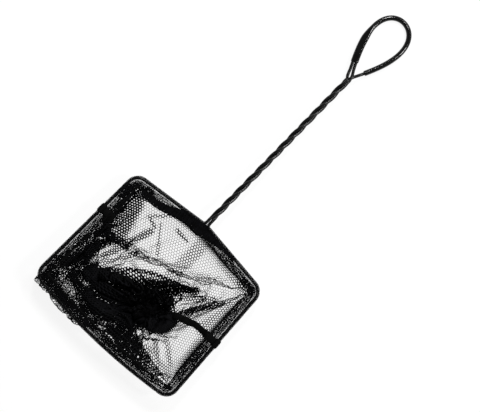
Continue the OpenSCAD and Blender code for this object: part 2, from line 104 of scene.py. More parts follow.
# %% Sizes of the hem and the bag
HEM_W = 8 * MM
MESH_PITCH = 2.1 * MM
BAG_PITCH = 2.65 * MM
print("mesh of the hem and of the bag:", MESH_PITCH, BAG_PITCH)

# %% [markdown]
# ## The camera
# The photograph looks straight down, with the handle up and to the right. A wide lens close to the
# net would draw the raised hoop larger than the loop on the table. So a long lens stands far off,
# which keeps the hoop and the table at nearly one scale.

# %% The camera
PICTURE_W = 408 * MM
LOOK_AT = (9.8 * MM, 98.0 * MM, 12 * MM)
PICTURE_TURN = math.radians(43.2)
LENS = 135.0
SENSOR_W = 36.0

camera = bpy.data.objects.new("camera", bpy.data.cameras.new("camera"))
bpy.context.scene.collection.objects.link(camera)
camera.data.lens = LENS
camera.data.sensor_width = SENSOR_W
camera.location = (LOOK_AT[0], LOOK_AT[1], LOOK_AT[2] + LENS / SENSOR_W * PICTURE_W)
camera.rotation_euler = (0, 0, PICTURE_TURN)
camera.data.clip_start = 0.05
bpy.context.scene.camera = camera
print("camera height:", round(camera.location.z, 3), "m")

# %% [markdown]
# ## Shader expressions
# A material is written as sums and products. A small class wraps a socket, and each operator adds
# the Math node that it names. Any other node comes from one method, which takes the node's type,
# its settings and what goes into its sockets. The node editor could do the same by hand, but a
# formula is shorter to read.

# %% A value that varies


class Value:
    """A number that varies over a surface, as the output of a node."""

    def __init__(self, shader, socket):
        self.shader = shader
        self.socket = socket

    def math(self, operation, a, b):
        return self.shader.node("ShaderNodeMath", {"operation": operation}, {0: a, 1: b})[0]

    def __add__(self, other):
        return self.math("ADD", self, other)

    def __radd__(self, other):
        return self.math("ADD", other, self)

    def __sub__(self, other):
        return self.math("SUBTRACT", self, other)

    def __rsub__(self, other):
        return self.math("SUBTRACT", other, self)

    def __mul__(self, other):
        return self.math("MULTIPLY", self, other)

    def __rmul__(self, other):
        return self.math("MULTIPLY", other, self)


# %% Nodes and the tree that they stand in


class Node:
    """A node whose outputs are read by name or number."""

    def __init__(self, shader, node):
        self.shader = shader
        self.node = node

    def __getitem__(self, output):
        return Value(self.shader, self.node.outputs[output])


class Shader:
    """The node tree of one material or of the world."""

    def __init__(self, owner):
        owner.use_nodes = True
        self.tree = owner.node_tree
        self.tree.nodes.clear()

    def node(self, kind, settings=None, sockets=None):
        """Adds a node, sets its settings first, and then fills or links its sockets."""
        made = self.tree.nodes.new(kind)
        for name, value in (settings or {}).items():
            if name == "stops":
                set_stops(made.color_ramp, value)
            else:
                setattr(made, name, value)
        for name, value in (sockets or {}).items():
            if isinstance(value, Value):
                self.tree.links.new(value.socket, made.inputs[name])
            else:
                made.inputs[name].default_value = value
        return Node(self, made)

    def place(self):
        """Where a point lies in the object's own room, in metres."""
        return self.node("ShaderNodeTexCoord")["Object"]

    def noise(self, scale, detail=4.0, roughness=0.55):
        """Cloudy noise from 0 to 1, whose blobs are about 1 / scale metres wide."""
        sockets = {
            "Vector": self.place(), "Scale": scale, "Detail": detail, "Roughness": roughness
        }
        return self.node("ShaderNodeTexNoise", None, sockets)["Fac"]

    def ramp(self, value, stops):
        """A colour or grey that follows the value through the given stops."""
        return self.node("ShaderNodeValToRGB", {"stops": stops}, {"Fac": value})["Color"]

    def bump(self, height, strength, distance):
        sockets = {"Height": height, "Strength": strength, "Distance": distance}
        return self.node("ShaderNodeBump", None, sockets)["Normal"]

    def surface(self, value):
        self.node("ShaderNodeOutputMaterial", None, {"Surface": value})

    def principled(self, sockets):
        """Ends a material in one Principled BSDF."""
        self.surface(self.node("ShaderNodeBsdfPrincipled", None, sockets)["BSDF"])


# %% Ramps and new materials


def set_stops(ramp, stops):
    """Puts (place, grey or colour) stops into a colour ramp."""
    while len(ramp.elements) < len(stops):
        ramp.elements.new(1.0)
    for element, (place, colour) in zip(ramp.elements, stops):
        element.position = place
        red, green, blue = colour if isinstance(colour, tuple) else (colour,) * 3
        element.color = (red, green, blue, 1.0)


def new_shader(name):
    material = bpy.data.materials.new(name)
    return material, Shader(material)


# %% [markdown]
# ## The plastics
# The wire's coating is a black plastic with a soft sheen, and handling has rubbed it here and
# there. The rubbed spots are painted a lighter grey, which is partly wear and partly a painted
# highlight along the strands. The sleeve is a smooth vinyl tube that mirrors the lights. Both get a
# faint unevenness in their bump, because an extruded skin is never quite flat. Pictures of
# scratches could give the same, but noise needs no file and has no seams.

# %% Plastic materials
# The scuffs are painted a lighter grey: partly rubbed wear, partly a painted highlight along the
# strands.
SCUFF_AND_HIGHLIGHT_COLOUR, SCUFF_ROUGHNESS, SCUFF_BUMP = 0.35, 0.12, 0.15
PLASTIC_IOR, COAT_IOR = 1.28, 1.35


def plastic(name, tones, gloss, skin_mm, skin_strength, coat=0.0):
    """A black plastic: its colour and roughness drift over the surface, and its skin is uneven.

    The tones are the two ends of the drift and the scuffs' lighter grey, which is partly rubbed
    wear and partly a painted highlight. A Mix node's two colours are its sockets 6 and 7, and its
    mixed colour is its output 2.
    """
    material, shader = new_shader(name)
    drift = shader.noise(160.0, detail=5.0)
    fine = shader.noise(1 / (skin_mm * MM), detail=3.0)
    # Scuffed spots: wear in roughness and bump, and in colour a lighter grey that is partly a painted
    # highlight.
    scuff_and_highlight = shader.ramp(shader.noise(900.0, detail=6.0, roughness=0.7), [(0.60, 0.0), (0.74, 1.0)])
    base = shader.ramp(drift, [(0.3, tones[0]), (0.7, tones[1])])
    worn_and_highlit = shader.node(
        "ShaderNodeMix", {"data_type": "RGBA"},
        {"Factor": scuff_and_highlight * SCUFF_AND_HIGHLIGHT_COLOUR, 6: base, 7: (*tones[2], 1.0)},
    )[2]
    shader.principled({
        "Base Color": worn_and_highlit, "IOR": PLASTIC_IOR,
        "Roughness": gloss[0] + drift * (gloss[1] - gloss[0]) + scuff_and_highlight * SCUFF_ROUGHNESS,
        "Normal": shader.bump(fine + scuff_and_highlight * SCUFF_BUMP, skin_strength, skin_mm * MM * 0.1),
        "Coat Weight": coat, "Coat Roughness": 0.06, "Coat IOR": COAT_IOR,
    })
    return material


# The third tone is the scuffs' lighter grey, partly a painted highlight.
COATING = plastic(
    "wire_coating", ((0.002, 0.002, 0.002), (0.005, 0.005, 0.005), (0.020, 0.020, 0.022)),
    (0.18, 0.32), 1.4, 0.5,
)
VINYL = plastic(
    "vinyl_sleeve", ((0.002, 0.002, 0.002), (0.004, 0.004, 0.004), (0.012, 0.012, 0.013)),
    (0.08, 0.15), 3.0, 0.45, coat=0.3,
)
print("plastics:", COATING.name, VINYL.name)

# %% [markdown]
# ## Steel, netting and thread
# The steel shows only at a cut end. The netting is dyed nylon: nearly black, with a faint cool
# sheen where its fibres catch the light. The thread is polyester. Single fibres would be far too
# fine to model, so the rows of them come from a wave in the bump. The refractive index is low,
# because a bundle of fibres doesn't mirror the room as a smooth skin does.

# %% Steel and fibre materials
FIBRE_IOR = 1.1


def steel():
    """Drawn wire: a metal with fine scratches along it."""
    material, shader = new_shader("steel_wire")
    scratches = shader.noise(2500.0, detail=6.0, roughness=0.7)
    colour = shader.ramp(scratches, [(0.3, (0.42, 0.42, 0.44)), (0.7, (0.62, 0.62, 0.64))])
    shader.principled({
        "Base Color": colour, "Metallic": 1.0, "Roughness": 0.25 + scratches * 0.2,
        "Normal": shader.bump(scratches, 0.3, 0.02 * MM),
    })
    return material


def fibre(name, dark, light, ply_mm, roughness, sheen):
    """Dyed fibre: the colour drifts between two near blacks, and the plies show in the bump."""
    material, shader = new_shader(name)
    drift = shader.noise(220.0, detail=4.0)
    speckle = shader.noise(2600.0, detail=3.0, roughness=0.7)
    colour = shader.ramp(drift * 0.6 + speckle * 0.4, [(0.35, dark), (0.68, light)])
    plies = shader.node(
        "ShaderNodeTexWave", {"bands_direction": "DIAGONAL"},
        {"Vector": shader.place(), "Scale": 1 / (ply_mm * MM) / 6, "Distortion": 2.0, "Detail": 2.0},
    )["Fac"]
    shader.principled({
        "Base Color": colour, "Roughness": roughness + speckle * 0.2,
        "Normal": shader.bump(plies + speckle * 0.5, 0.6, 0.05 * MM),
        "IOR": FIBRE_IOR, "Sheen Weight": sheen, "Sheen Roughness": 0.4,
    })
    return material


STEEL = steel()
NETTING = fibre("netting", (0.001, 0.001, 0.001), (0.004, 0.004, 0.005), 0.20, 0.55, 0.003)
HEM_NETTING = fibre("hem_netting", (0.001, 0.001, 0.001), (0.004, 0.004, 0.005), 0.20, 0.55, 0.003)
SEAM = fibre("seam_tape", (0.001, 0.001, 0.001), (0.003, 0.003, 0.003), 0.35, 0.65, 0.003)
THREAD = fibre("sewing_thread", (0.001, 0.001, 0.001), (0.004, 0.004, 0.004), 0.15, 0.50, 0.005)
print("fibres:", NETTING.name, HEM_NETTING.name, SEAM.name, THREAD.name)

# %% [markdown]
# ## Meshes from arrays
# Every new piece is a set of points and faces that numpy works out. One function writes them into
# a mesh, places the piece in the frame and says which node it stands for. Blender's own tools
# could draw and extrude the pieces, but a formula on whole arrays is quick even for the netting's
# hundreds of thousands of faces.

# %% Writing a mesh


def unit(v):
    """Each vector divided by its own length."""
    return v / np.maximum(np.linalg.norm(v, axis=-1, keepdims=True), 1e-12)


def make_mesh(name, points, faces, uv=None):
    """A smooth mesh from points (n, 3) and a list of face arrays, each of one number of sides."""
    mesh = bpy.data.meshes.new(name)
    sizes = np.concatenate([np.full(len(f), f.shape[1]) for f in faces])
    corners = np.concatenate([f.ravel() for f in faces]).astype(np.int32)
    starts = np.concatenate([[0], np.cumsum(sizes)[:-1]]).astype(np.int32)
    mesh.vertices.add(len(points))
    mesh.vertices.foreach_set("co", np.ascontiguousarray(points, np.float32).ravel())
    mesh.loops.add(len(corners))
    mesh.loops.foreach_set("vertex_index", corners)
    mesh.polygons.add(len(sizes))
    mesh.polygons.foreach_set("loop_start", starts)
    mesh.polygons.foreach_set("use_smooth", np.ones(len(sizes), bool))
    if uv is not None:
        layer = mesh.uv_layers.new(name="OFBake")
        layer.data.foreach_set("uv", np.ascontiguousarray(uv[corners], np.float32).ravel())
    mesh.update()
    mesh.validate()
    return mesh


# %% Placing a piece


def make_piece(name, points, faces, material, slot, replaces=(), uv=None):
    """A piece at its place in the frame, which rides on the one body and replaces its nodes."""
    piece = bpy.data.objects.new(name, make_mesh(name, points, faces, uv))
    bpy.context.scene.collection.objects.link(piece)
    piece.data.materials.append(material)
    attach(piece, "root")
    if replaces:
        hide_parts(*replaces)
    print(f"{name}: {len(points)} points, {sum(len(f) for f in faces)} faces")
    return piece


# %% Tubes and pieces of several parts


def tube_grid(grid):
    """Faces of a closed tube whose rings are the rows of a grid, with a cap on both ends."""
    rings, sides = grid.shape[:2]
    at = np.arange(rings * sides).reshape(rings, sides)
    turn = np.roll(at, -1, axis=1)
    walls = np.stack([at[:-1], turn[:-1], turn[1:], at[1:]], -1).reshape(-1, 4)
    return grid.reshape(-1, 3), [walls, at[:1, ::-1], at[-1:]]


def joined(parts):
    """Several (points, faces) put into one, with the face numbers moved up."""
    points, faces, first = [], [], 0
    for part_points, part_faces in parts:
        points.append(part_points)
        faces += [f + first for f in part_faces]
        first += len(part_points)
    return np.concatenate(points), faces


# %% [markdown]
# ## Paths
# The hoop is a polygon with rounded corners, so its path is straight runs joined by arcs. Its
# normal points into the hoop, and a hem or a stitch line is the same path moved along it. A bezier
# curve could follow it too, but its arcs are only nearly round.

# %% A path with round corners


def rounded_path(corners, radii, step=0.5 * MM):
    """Points and left normals along a polygon whose corner i is an arc of radius i.

    An arc starts r tan(turn / 2) before its corner, and its middle lies r to the inside.
    """
    corners = [np.array(c, float) for c in corners]
    points, normals, start = [], [], corners[0]
    for i in range(1, len(corners) - 1):
        way = unit(corners[i] - corners[i - 1])
        left = np.array([-way[1], way[0]])
        onward = unit(corners[i + 1] - corners[i])
        turn = math.atan2(way[0] * onward[1] - way[1] * onward[0], way @ onward)
        run = radii[i] * math.tan(abs(turn) / 2)
        foot = corners[i] - run * way
        share = np.linspace(0, 1, max(2, int(np.linalg.norm(foot - start) / step)), endpoint=False)
        points.append(start + (foot - start) * share[:, None])
        normals.append(np.tile(left, (len(share), 1)))
        angle = np.linspace(0, turn, max(6, int(radii[i] * abs(turn) / step)), endpoint=False)
        arc = left * np.cos(angle)[:, None] - way * np.sin(angle)[:, None]
        middle = foot + math.copysign(radii[i], turn) * left
        points.append(middle - math.copysign(radii[i], turn) * arc)
        normals.append(arc)
        start = corners[i] + run * onward
    share = np.linspace(0, 1, max(2, int(np.linalg.norm(corners[-1] - start) / step)))
    points.append(start + (corners[-1] - start) * share[:, None])
    normals.append(np.tile([-onward[1], onward[0]], (len(share), 1)))
    return np.concatenate(points), np.concatenate(normals)


def length_along(points):
    """The length of a path up to each of its points."""
    return np.concatenate([[0], np.cumsum(np.linalg.norm(np.diff(points, axis=0), axis=1))])


def sampled(at, along, values):
    """Values of a path at the lengths asked for."""
    return np.stack([np.interp(at, along, values[:, k]) for k in range(values.shape[1])], -1)


# %% The wire's plane
REST_R = (SLEEVE_R + SLEEVE_T) / math.cos(math.pi / 12) * math.cos(math.pi / 12 - WIRE_TILT)
NECK_Y = (NEAR_DROP + HOOP_DEPTH + FAR_BOW / 2) / 2 * math.cos(WIRE_TILT)
NECK_Z = (HANDLE_L + LOOP_L) * math.cos(HANDLE_LEAN) * math.sin(WIRE_TILT) + REST_R
PLANE_Y = np.array([0, math.cos(WIRE_TILT), -math.sin(WIRE_TILT)])
PLANE_UP = np.array([0, math.sin(WIRE_TILT), math.cos(WIRE_TILT)])
print("the neck, along and up:", round(NECK_Y, 4), round(NECK_Z, 4))


def in_wire_plane(points, up=0.0):
    """Points of the wire's plane, lifted off it by up, in the room."""
    x = points[..., 0, None] * np.array([1.0, 0, 0])
    y = points[..., 1, None] * PLANE_Y
    return x + y + np.asarray(up)[..., None] * PLANE_UP + np.array([0, NECK_Y, NECK_Z])


def lay_normals(normals):
    """Directions of the wire's plane, in the room."""
    return normals[..., 0, None] * np.array([1.0, 0, 0]) + normals[..., 1, None] * PLANE_Y


# %% The hoop's own places
NECK = np.array([0.0, 0.0])
NEAR_LEFT = np.array([-NEAR_W / 2, -NEAR_DROP])
NEAR_RIGHT = np.array([NEAR_W / 2, -NEAR_DROP])
FAR_LEFT = np.array([-FAR_W / 2, -NEAR_DROP - HOOP_DEPTH])
FAR_RIGHT = np.array([FAR_W / 2, -NEAR_DROP - HOOP_DEPTH])
FAR_MIDDLE = np.array([0, -NEAR_DROP - HOOP_DEPTH - FAR_BOW])
LEFT_SEAM = NEAR_LEFT + LEFT_SEAM_AT * unit(FAR_LEFT - NEAR_LEFT)
RIGHT_SEAM = NEAR_RIGHT + RIGHT_SEAM_AT * unit(FAR_RIGHT - NEAR_RIGHT)
ALONG_HANDLE = np.array([math.sin(HANDLE_LEAN), math.cos(HANDLE_LEAN)])
ACROSS_HANDLE = np.array([math.cos(HANDLE_LEAN), -math.sin(HANDLE_LEAN)])


def crossing(p, d, q, e):
    """Where the line through p along d crosses the line through q along e."""
    return p + d * ((q - p)[0] * e[1] - (q - p)[1] * e[0]) / (d[0] * e[1] - d[1] * e[0])


print("seams on the hoop:", LEFT_SEAM.round(4), RIGHT_SEAM.round(4))

# %% [markdown]
# ## The wire
# The coated wire is swept as a round tube. The hoop lies in the wire's plane. The handle has three
# strands: two come from the hoop's ends, and the third is the wire that went round the loop and
# came back. They wind round each other four times, as a right-handed screw, and the twist starts
# and stops gently. A screw modifier could wind them, but not start and stop the twist. Each
# stretch is its own piece, as in the construction.

# %% The hoop
ROUND_SIDES = 20


def circle(radius, sides=ROUND_SIDES):
    """A round profile, as points (across, up)."""
    angle = np.arange(sides) * 2 * math.pi / sides
    return radius * np.stack([np.cos(angle), np.sin(angle)], -1)


def swept(centres, across, over, profile):
    """A profile carried along a path: centre + x across + y over, as a grid of rings."""
    if profile.ndim == 2:
        profile = np.tile(profile, (len(centres), 1, 1))
    return (
        centres[:, None]
        + profile[..., 0, None] * across[:, None]
        + profile[..., 1, None] * over[:, None]
    )


left_bend = crossing(-STRAND_R * ACROSS_HANDLE, ALONG_HANDLE, NECK, NEAR_LEFT)
right_bend = crossing(STRAND_R * ACROSS_HANDLE, ALONG_HANDLE, NECK, NEAR_RIGHT)
hoop_points, hoop_normals = rounded_path(
    [
        NECK_STUB * ALONG_HANDLE - STRAND_R * ACROSS_HANDLE, left_bend, NEAR_LEFT, FAR_LEFT,
        FAR_MIDDLE, FAR_RIGHT, NEAR_RIGHT, right_bend,
        NECK_STUB * ALONG_HANDLE + STRAND_R * ACROSS_HANDLE,
    ],
    [0, NECK_R, CORNER_R, CORNER_R, BOW_R, CORNER_R, CORNER_R, NECK_R, 0],
)


def along_hoop(points, normals, profile):
    """A tube along a path in the wire's plane, turned so that its faces point outwards."""
    across = lay_normals(normals)
    over = np.tile(PLANE_UP, (len(points), 1))
    return swept(in_wire_plane(points), -across, over, profile)


make_piece(
    "hoop_coat", *tube_grid(along_hoop(hoop_points, hoop_normals, circle(COAT_R))),
    COATING, "wire_coating", ["hoop_coating"],
)

# %% The twisted strands
STEPS_PER_TURN = 48


def in_handle_frame(points):
    """Points of the handle's own frame, x across it, y along it and z up, in the room."""
    flat = points[..., 0, None] * ACROSS_HANDLE + points[..., 1, None] * ALONG_HANDLE
    return in_wire_plane(flat, points[..., 2])


def eased(share):
    """The twist's progress: its speed rises and falls as (1 - cos) / 2 over the two ends."""
    s = np.minimum(share, 1 - share)
    slow = s / 2 - EASE_SHARE / (2 * math.pi) * np.sin(math.pi * s / EASE_SHARE)
    part = np.where(s < EASE_SHARE, slow, s - EASE_SHARE / 2) / (1 - EASE_SHARE)
    return np.where(share > 0.5, 1 - part, part)


def strand_grid(phase, radius):
    """A strand's rings: its centre turns on a helix of radius TWIST_R round the handle's axis."""
    share = np.linspace(0, 1, int(TWIST_TURNS * STEPS_PER_TURN))
    angle = phase - 2 * math.pi * TWIST_TURNS * eased(share)
    out = np.stack([np.cos(angle), np.zeros_like(angle), np.sin(angle)], -1)
    centres = TWIST_R * (out - np.array([0, 0, math.sin(PAIR_PHASE)]))
    centres[:, 1] = NECK_STUB + (HANDLE_L - NECK_STUB) * share
    way = unit(np.gradient(centres, axis=0))
    way[[0, -1]] = [0, 1, 0]
    return in_handle_frame(swept(centres, out, np.cross(way, out), circle(radius)))


for side, phase in (
    ("left", math.pi - PAIR_PHASE), ("right", PAIR_PHASE), ("middle", math.pi / 2)
):
    make_piece(
        f"{side}_strand_coat", *tube_grid(strand_grid(phase, COAT_R)),
        COATING, "wire_coating", [f"{side}_strand_coating"],
    )

# %% [markdown]
# ## The hanging loop
# The loop is a teardrop: x = a sin t sin(t / 2) to a power, y = b (1 - cos t). Both wires leave
# the twist up its left side. One ends inside the sleeve. The other goes round, climbs over the pair
# and lies down on the twist as its third strand. The sleeve is tight round the pair and stands off
# the one wire. All of them follow one line, so that they still fit when the loop's size changes.

# %% The loop's line
WIDEST = math.atan(math.sqrt(LOOP_TAPER + 1))
LOOP_A = LOOP_W / 4 / (math.sin(WIDEST) ** (LOOP_TAPER + 1) * math.cos(WIDEST))
AT_TWIST = SPLAY / 40


def smooth(x):
    """0 up to 0, 1 from 1, and 3 x x - 2 x x x between."""
    c = np.clip(x, 0, 1)
    return c * c * (3 - 2 * c)


def return_rise(t):
    """How high the wire that comes back lies over the loop's plane, as it climbs over the pair."""
    y = LOOP_L / 2 * (1 - np.cos(t))
    climb = CROSS_RISE * smooth((RETURN_FLAT - y) / (RETURN_FLAT - LOOP_L / 2 * (1 - math.cos(SPLAY))))
    top = TWIST_R * (1 - math.sin(PAIR_PHASE))
    return np.where(t < math.pi, 0, np.where(t > 2 * math.pi - AT_TWIST, top, climb))


def drop_at(t):
    """The loop's own line at the angle t, in the handle's frame."""
    x = -LOOP_A * np.sin(t) * np.abs(np.sin(t / 2)) ** LOOP_TAPER
    return np.stack([x, HANDLE_L + LOOP_L / 2 * (1 - np.cos(t)), return_rise(t)], -1)


def drop_angle(distance):
    """The angle at which the left side of the loop is a distance from the twist."""
    return math.acos(1 - distance / (LOOP_L / 2))


# %% Where the wires run side by side
SLEEVE_FROM = drop_angle(SLEEVE_START)
SLEEVE_TO = 2 * math.pi - drop_angle(SLEEVE_END)
TAIL_TO = drop_angle(TAIL_END)
print("sleeve from and to, tail to:", [round(a, 2) for a in (SLEEVE_FROM, SLEEVE_TO, TAIL_TO)])


def paired(t):
    """1 while both wires run side by side, 0 once only one is left."""
    return 1 - smooth((t - TAIL_TO) / RELAX)


def spread(t):
    """Distance of either wire from the loop's own line."""
    bulge = np.sin(math.pi * smooth(t / SLEEVE_FROM)) ** 2
    return (STRAND_R + PAIR_SPREAD * bulge) * paired(t)


def drop_grid(t, offset, profile):
    """A profile carried round the loop's line, pushed to the loop's inside by the offset."""
    step = 0.004
    way = unit(drop_at(np.minimum(t + step, 2 * math.pi)) - drop_at(np.maximum(t - step, 0)))
    way[t < AT_TWIST] = [0, 1, 0]
    way[t > 2 * math.pi - AT_TWIST] = [0, -1, 0]
    inside = unit(np.stack([way[:, 1], -way[:, 0], np.zeros(len(t))], -1))
    over = np.cross(inside, way)
    centres = drop_at(t) + offset[:, None] * inside
    return in_handle_frame(swept(centres, inside, over, profile))


# %% The loop and the tail
STEPS_PER_RADIAN = 50


def loop_angles(end):
    """Angles along a wire of the loop: one straight stretch out of the twist, then fine steps."""
    steps = int((end - SPLAY) * STEPS_PER_RADIAN)
    return np.concatenate([[0.0], np.linspace(SPLAY, end, steps)])


turns = np.append(loop_angles(2 * math.pi - SPLAY), 2 * math.pi)
loop_coat = tube_grid(drop_grid(turns, spread(turns), circle(COAT_R)))
make_piece("loop_coat", *loop_coat, COATING, "wire_coating", ["loop_coating"])
loop_core = tube_grid(drop_grid(turns, spread(turns), circle(STEEL_R)))
make_piece("loop_core", *loop_core, STEEL, "steel_wire", ["loop_wire"])
turns = loop_angles(TAIL_TO)
tail_coat = tube_grid(drop_grid(turns, -spread(turns), circle(COAT_R)))
make_piece("tail_coat", *tail_coat, COATING, "wire_coating", ["tail_coating"])

# %% The sleeve
LIP = 0.12 * MM
SLEEVE_RINGS = 220


def stadium(t, wall, sides=36):
    """The sleeve's ring at each angle: a circle cut in half and drawn apart by the spread."""
    bore = SLEEVE_R - (SLEEVE_R - COAT_R - LAY) * paired(t)
    angle = (np.arange(sides) + 0.5) * 2 * math.pi / sides
    x = (bore + wall)[:, None] * np.cos(angle) + spread(t)[:, None] * np.sign(np.cos(angle))
    return np.stack([x, (bore + wall)[:, None] * np.sin(angle)], -1)


def sleeve():
    """Outer rings there and inner rings back, so that both ends show the wall's thickness."""
    t = np.linspace(SLEEVE_FROM, SLEEVE_TO, SLEEVE_RINGS)
    wall = np.full(SLEEVE_RINGS, SLEEVE_T)
    wall[[0, -1]] -= LIP
    outer = drop_grid(t, np.zeros(len(t)), stadium(t, wall))
    inner = drop_grid(t, np.zeros(len(t)), stadium(t, np.zeros(len(t))))
    grid = np.concatenate([outer, inner[::-1]])
    rings, sides = grid.shape[:2]
    at = np.arange(rings * sides).reshape(rings, sides)
    turn = np.roll(at, -1, axis=1)
    on, turn_on = np.roll(at, -1, axis=0), np.roll(turn, -1, axis=0)
    walls = np.stack([at, turn, turn_on, on], -1).reshape(-1, 4)
    return grid.reshape(-1, 3), [walls]


make_piece("loop_tube", *sleeve(), VINYL, "vinyl_sleeve", ["loop_sleeve"])

# %% [markdown]
# ## Floor, lamps and world
# The photograph has a white ground with hardly a shadow. White behind the net would give that, but
# the net would float. So the floor is a pale matt sheet that the camera and shiny plastic see
# mostly as plain white, and the rest is its own shading with a very faint shadow. Three soft lamps
# stand where the streaks on the handle ask for them.

# %% The floor
SQUARE = np.array([[-1, -1, 0], [1, -1, 0], [1, 1, 0], [-1, 1, 0.0]])
FLOOR_HALF = 2.5
FLOOR_DROP = 0.00002
WHITE_SHARE = 0.88


def floor_material():
    """A pale matt floor. Rays from the camera and from mirrors see WHITE_SHARE of plain white."""
    material, shader = new_shader("floor")
    ray = shader.node("ShaderNodeLightPath")
    seen = ray["Is Camera Ray"] + ray["Is Glossy Ray"] + ray["Is Transmission Ray"]
    matt = shader.node("ShaderNodeBsdfDiffuse", None, {"Color": (0.92, 0.92, 0.92, 1.0)})["BSDF"]
    white = shader.node("ShaderNodeEmission", None, {"Color": (1.0, 1.0, 1.0, 1.0)})["Emission"]
    sockets = {0: seen * WHITE_SHARE, 1: matt, 2: white}
    shader.surface(shader.node("ShaderNodeMixShader", None, sockets)["Shader"])
    return material


floor_points = FLOOR_HALF * SQUARE
floor_points[:, 2] -= FLOOR_DROP
floor = bpy.data.objects.new("floor", make_mesh("floor", floor_points, [np.array([[0, 1, 2, 3]])]))
bpy.context.scene.collection.objects.link(floor)
floor.data.materials.append(floor_material())
print("floor:", 2 * FLOOR_HALF, "m wide")

# %% The lamps and the world

def lamp(name, place, size, watts):
    """A soft rectangular lamp at the place, which looks at the middle of the net."""
    made = bpy.data.objects.new(name, bpy.data.lights.new(name, "AREA"))
    bpy.context.scene.collection.objects.link(made)
    made.data.shape = "RECTANGLE"
    made.data.size, made.data.size_y = size
    made.data.energy = watts
    made.location = place
    aim = made.location.copy()
    aim.x, aim.y = aim.x - LOOK_AT[0], aim.y - LOOK_AT[1]
    made.rotation_euler = aim.to_track_quat("Z", "Y").to_euler()


lamp("key_lamp", (-0.44, 0.92, 1.15), (0.22, 0.30), 14.0)
lamp("fill_lamp", (0.71, 0.60, 1.05), (0.18, 0.30), 10.0)
lamp("top_lamp", (0.10, 1.05, 1.20), (0.30, 0.16), 8.0)


def studio_world():
    """A white studio whose walls are bright and whose ceiling is dim, so black plastic stays black."""
    made = bpy.data.worlds.new("world")
    shader = Shader(made)
    way = shader.node("ShaderNodeTexCoord")["Generated"]
    height = shader.node("ShaderNodeSeparateXYZ", None, {"Vector": way})["Z"]
    colour = shader.ramp(height, [(0.0, 0.90), (0.25, 0.70), (0.60, 0.18), (1.0, 0.07)])
    light = shader.node("ShaderNodeBackground", None, {"Color": colour})["Background"]
    shader.node("ShaderNodeOutputWorld", None, {"Surface": light})
    return made


bpy.context.scene.world = studio_world()
bpy.context.scene.view_settings.view_transform = "Standard"
print("lamps:", [made.name for made in bpy.data.lights])

# %% [markdown]
# ## The bag's cloth
# The bag is two halves of netting, cut like a cup and joined down both sides and along the bottom
# fold. Each half is a grid: u runs round the mouth and v runs down. The cut is wider than the rim,
# so its mouth is sewn to the hem with slack. The folds could be drawn by hand, but a simulation
# gives each fold its own cloth and the room that it needs.

# %% The rim and the cut
BAG_W, BAG_D, BAG_BOTTOM = 430 * MM, 190 * MM, 200 * MM
CUT_POWER = 1.5
GRID_U, GRID_V = 86, 40
EDGE_IN = HEM_W + LAY
SEWN_UNDER = 0.8 * MM
BOTTOM_AT = (10 * MM, -4 * MM, -155 * MM)


def rim(corners, radii, side):
    """The hem's inner edge along a part of the hoop: its points, and the length up to each."""
    points, normals = rounded_path(corners, radii)
    edge = points + side * EDGE_IN * normals
    return edge, length_along(edge)


NEAR_RIM, NEAR_LENGTHS = rim(
    [LEFT_SEAM, NEAR_LEFT, NECK, NEAR_RIGHT, RIGHT_SEAM], [0, CORNER_R, CORNER_R, CORNER_R, 0], -1
)
FAR_RIM, FAR_LENGTHS = rim(
    [LEFT_SEAM, FAR_LEFT, FAR_MIDDLE, FAR_RIGHT, RIGHT_SEAM], [0, CORNER_R, BOW_R, CORNER_R, 0], 1
)
print("rim, near and far:", NEAR_LENGTHS[-1].round(4), FAR_LENGTHS[-1].round(4))


def half_share(depth):
    """The cut's width at a depth, as a share of the mouth: 1 - (1 - bottom / mouth) t^CUT_POWER."""
    return 1 - (1 - BAG_BOTTOM / BAG_W) * (depth / BAG_D) ** CUT_POWER


# %% How the mouth is sewn on
SLACK_SPREAD = 1.4
NEAR_SLACK_AT, NEAR_SLACK_HALF = 80 * MM, 85 * MM
FAR_SLACK_AT, FAR_SLACK_HALF = 100 * MM, 90 * MM


def mouth(total, slack_at, half):
    """Places along a rim, and the place on the cut's mouth that is sewn to each.

    A length of rim takes 1 + r (1 - x x) of netting, where x is its distance from slack_at divided
    by SLACK_SPREAD half, and the sum of that is scaled to the width of the cut.
    """
    rate = (BAG_W - total) / (2 * half)
    on_rim = np.linspace(0, total, 4001)
    hump = 1 - ((on_rim - slack_at) / half / SLACK_SPREAD) ** 2
    density = 1 + rate * np.clip(hump, 0, None)
    on_cut = np.concatenate([[0], np.cumsum((density[1:] + density[:-1]) / 2)])
    return on_rim, on_cut * BAG_W / on_cut[-1]


NEAR_MOUTH = mouth(NEAR_LENGTHS[-1], NEAR_SLACK_AT, NEAR_SLACK_HALF)
FAR_MOUTH = mouth(FAR_LENGTHS[-1], FAR_SLACK_AT, FAR_SLACK_HALF)
print("netting sewn to the rim, near and far:", NEAR_MOUTH[1][-1], FAR_MOUTH[1][-1])


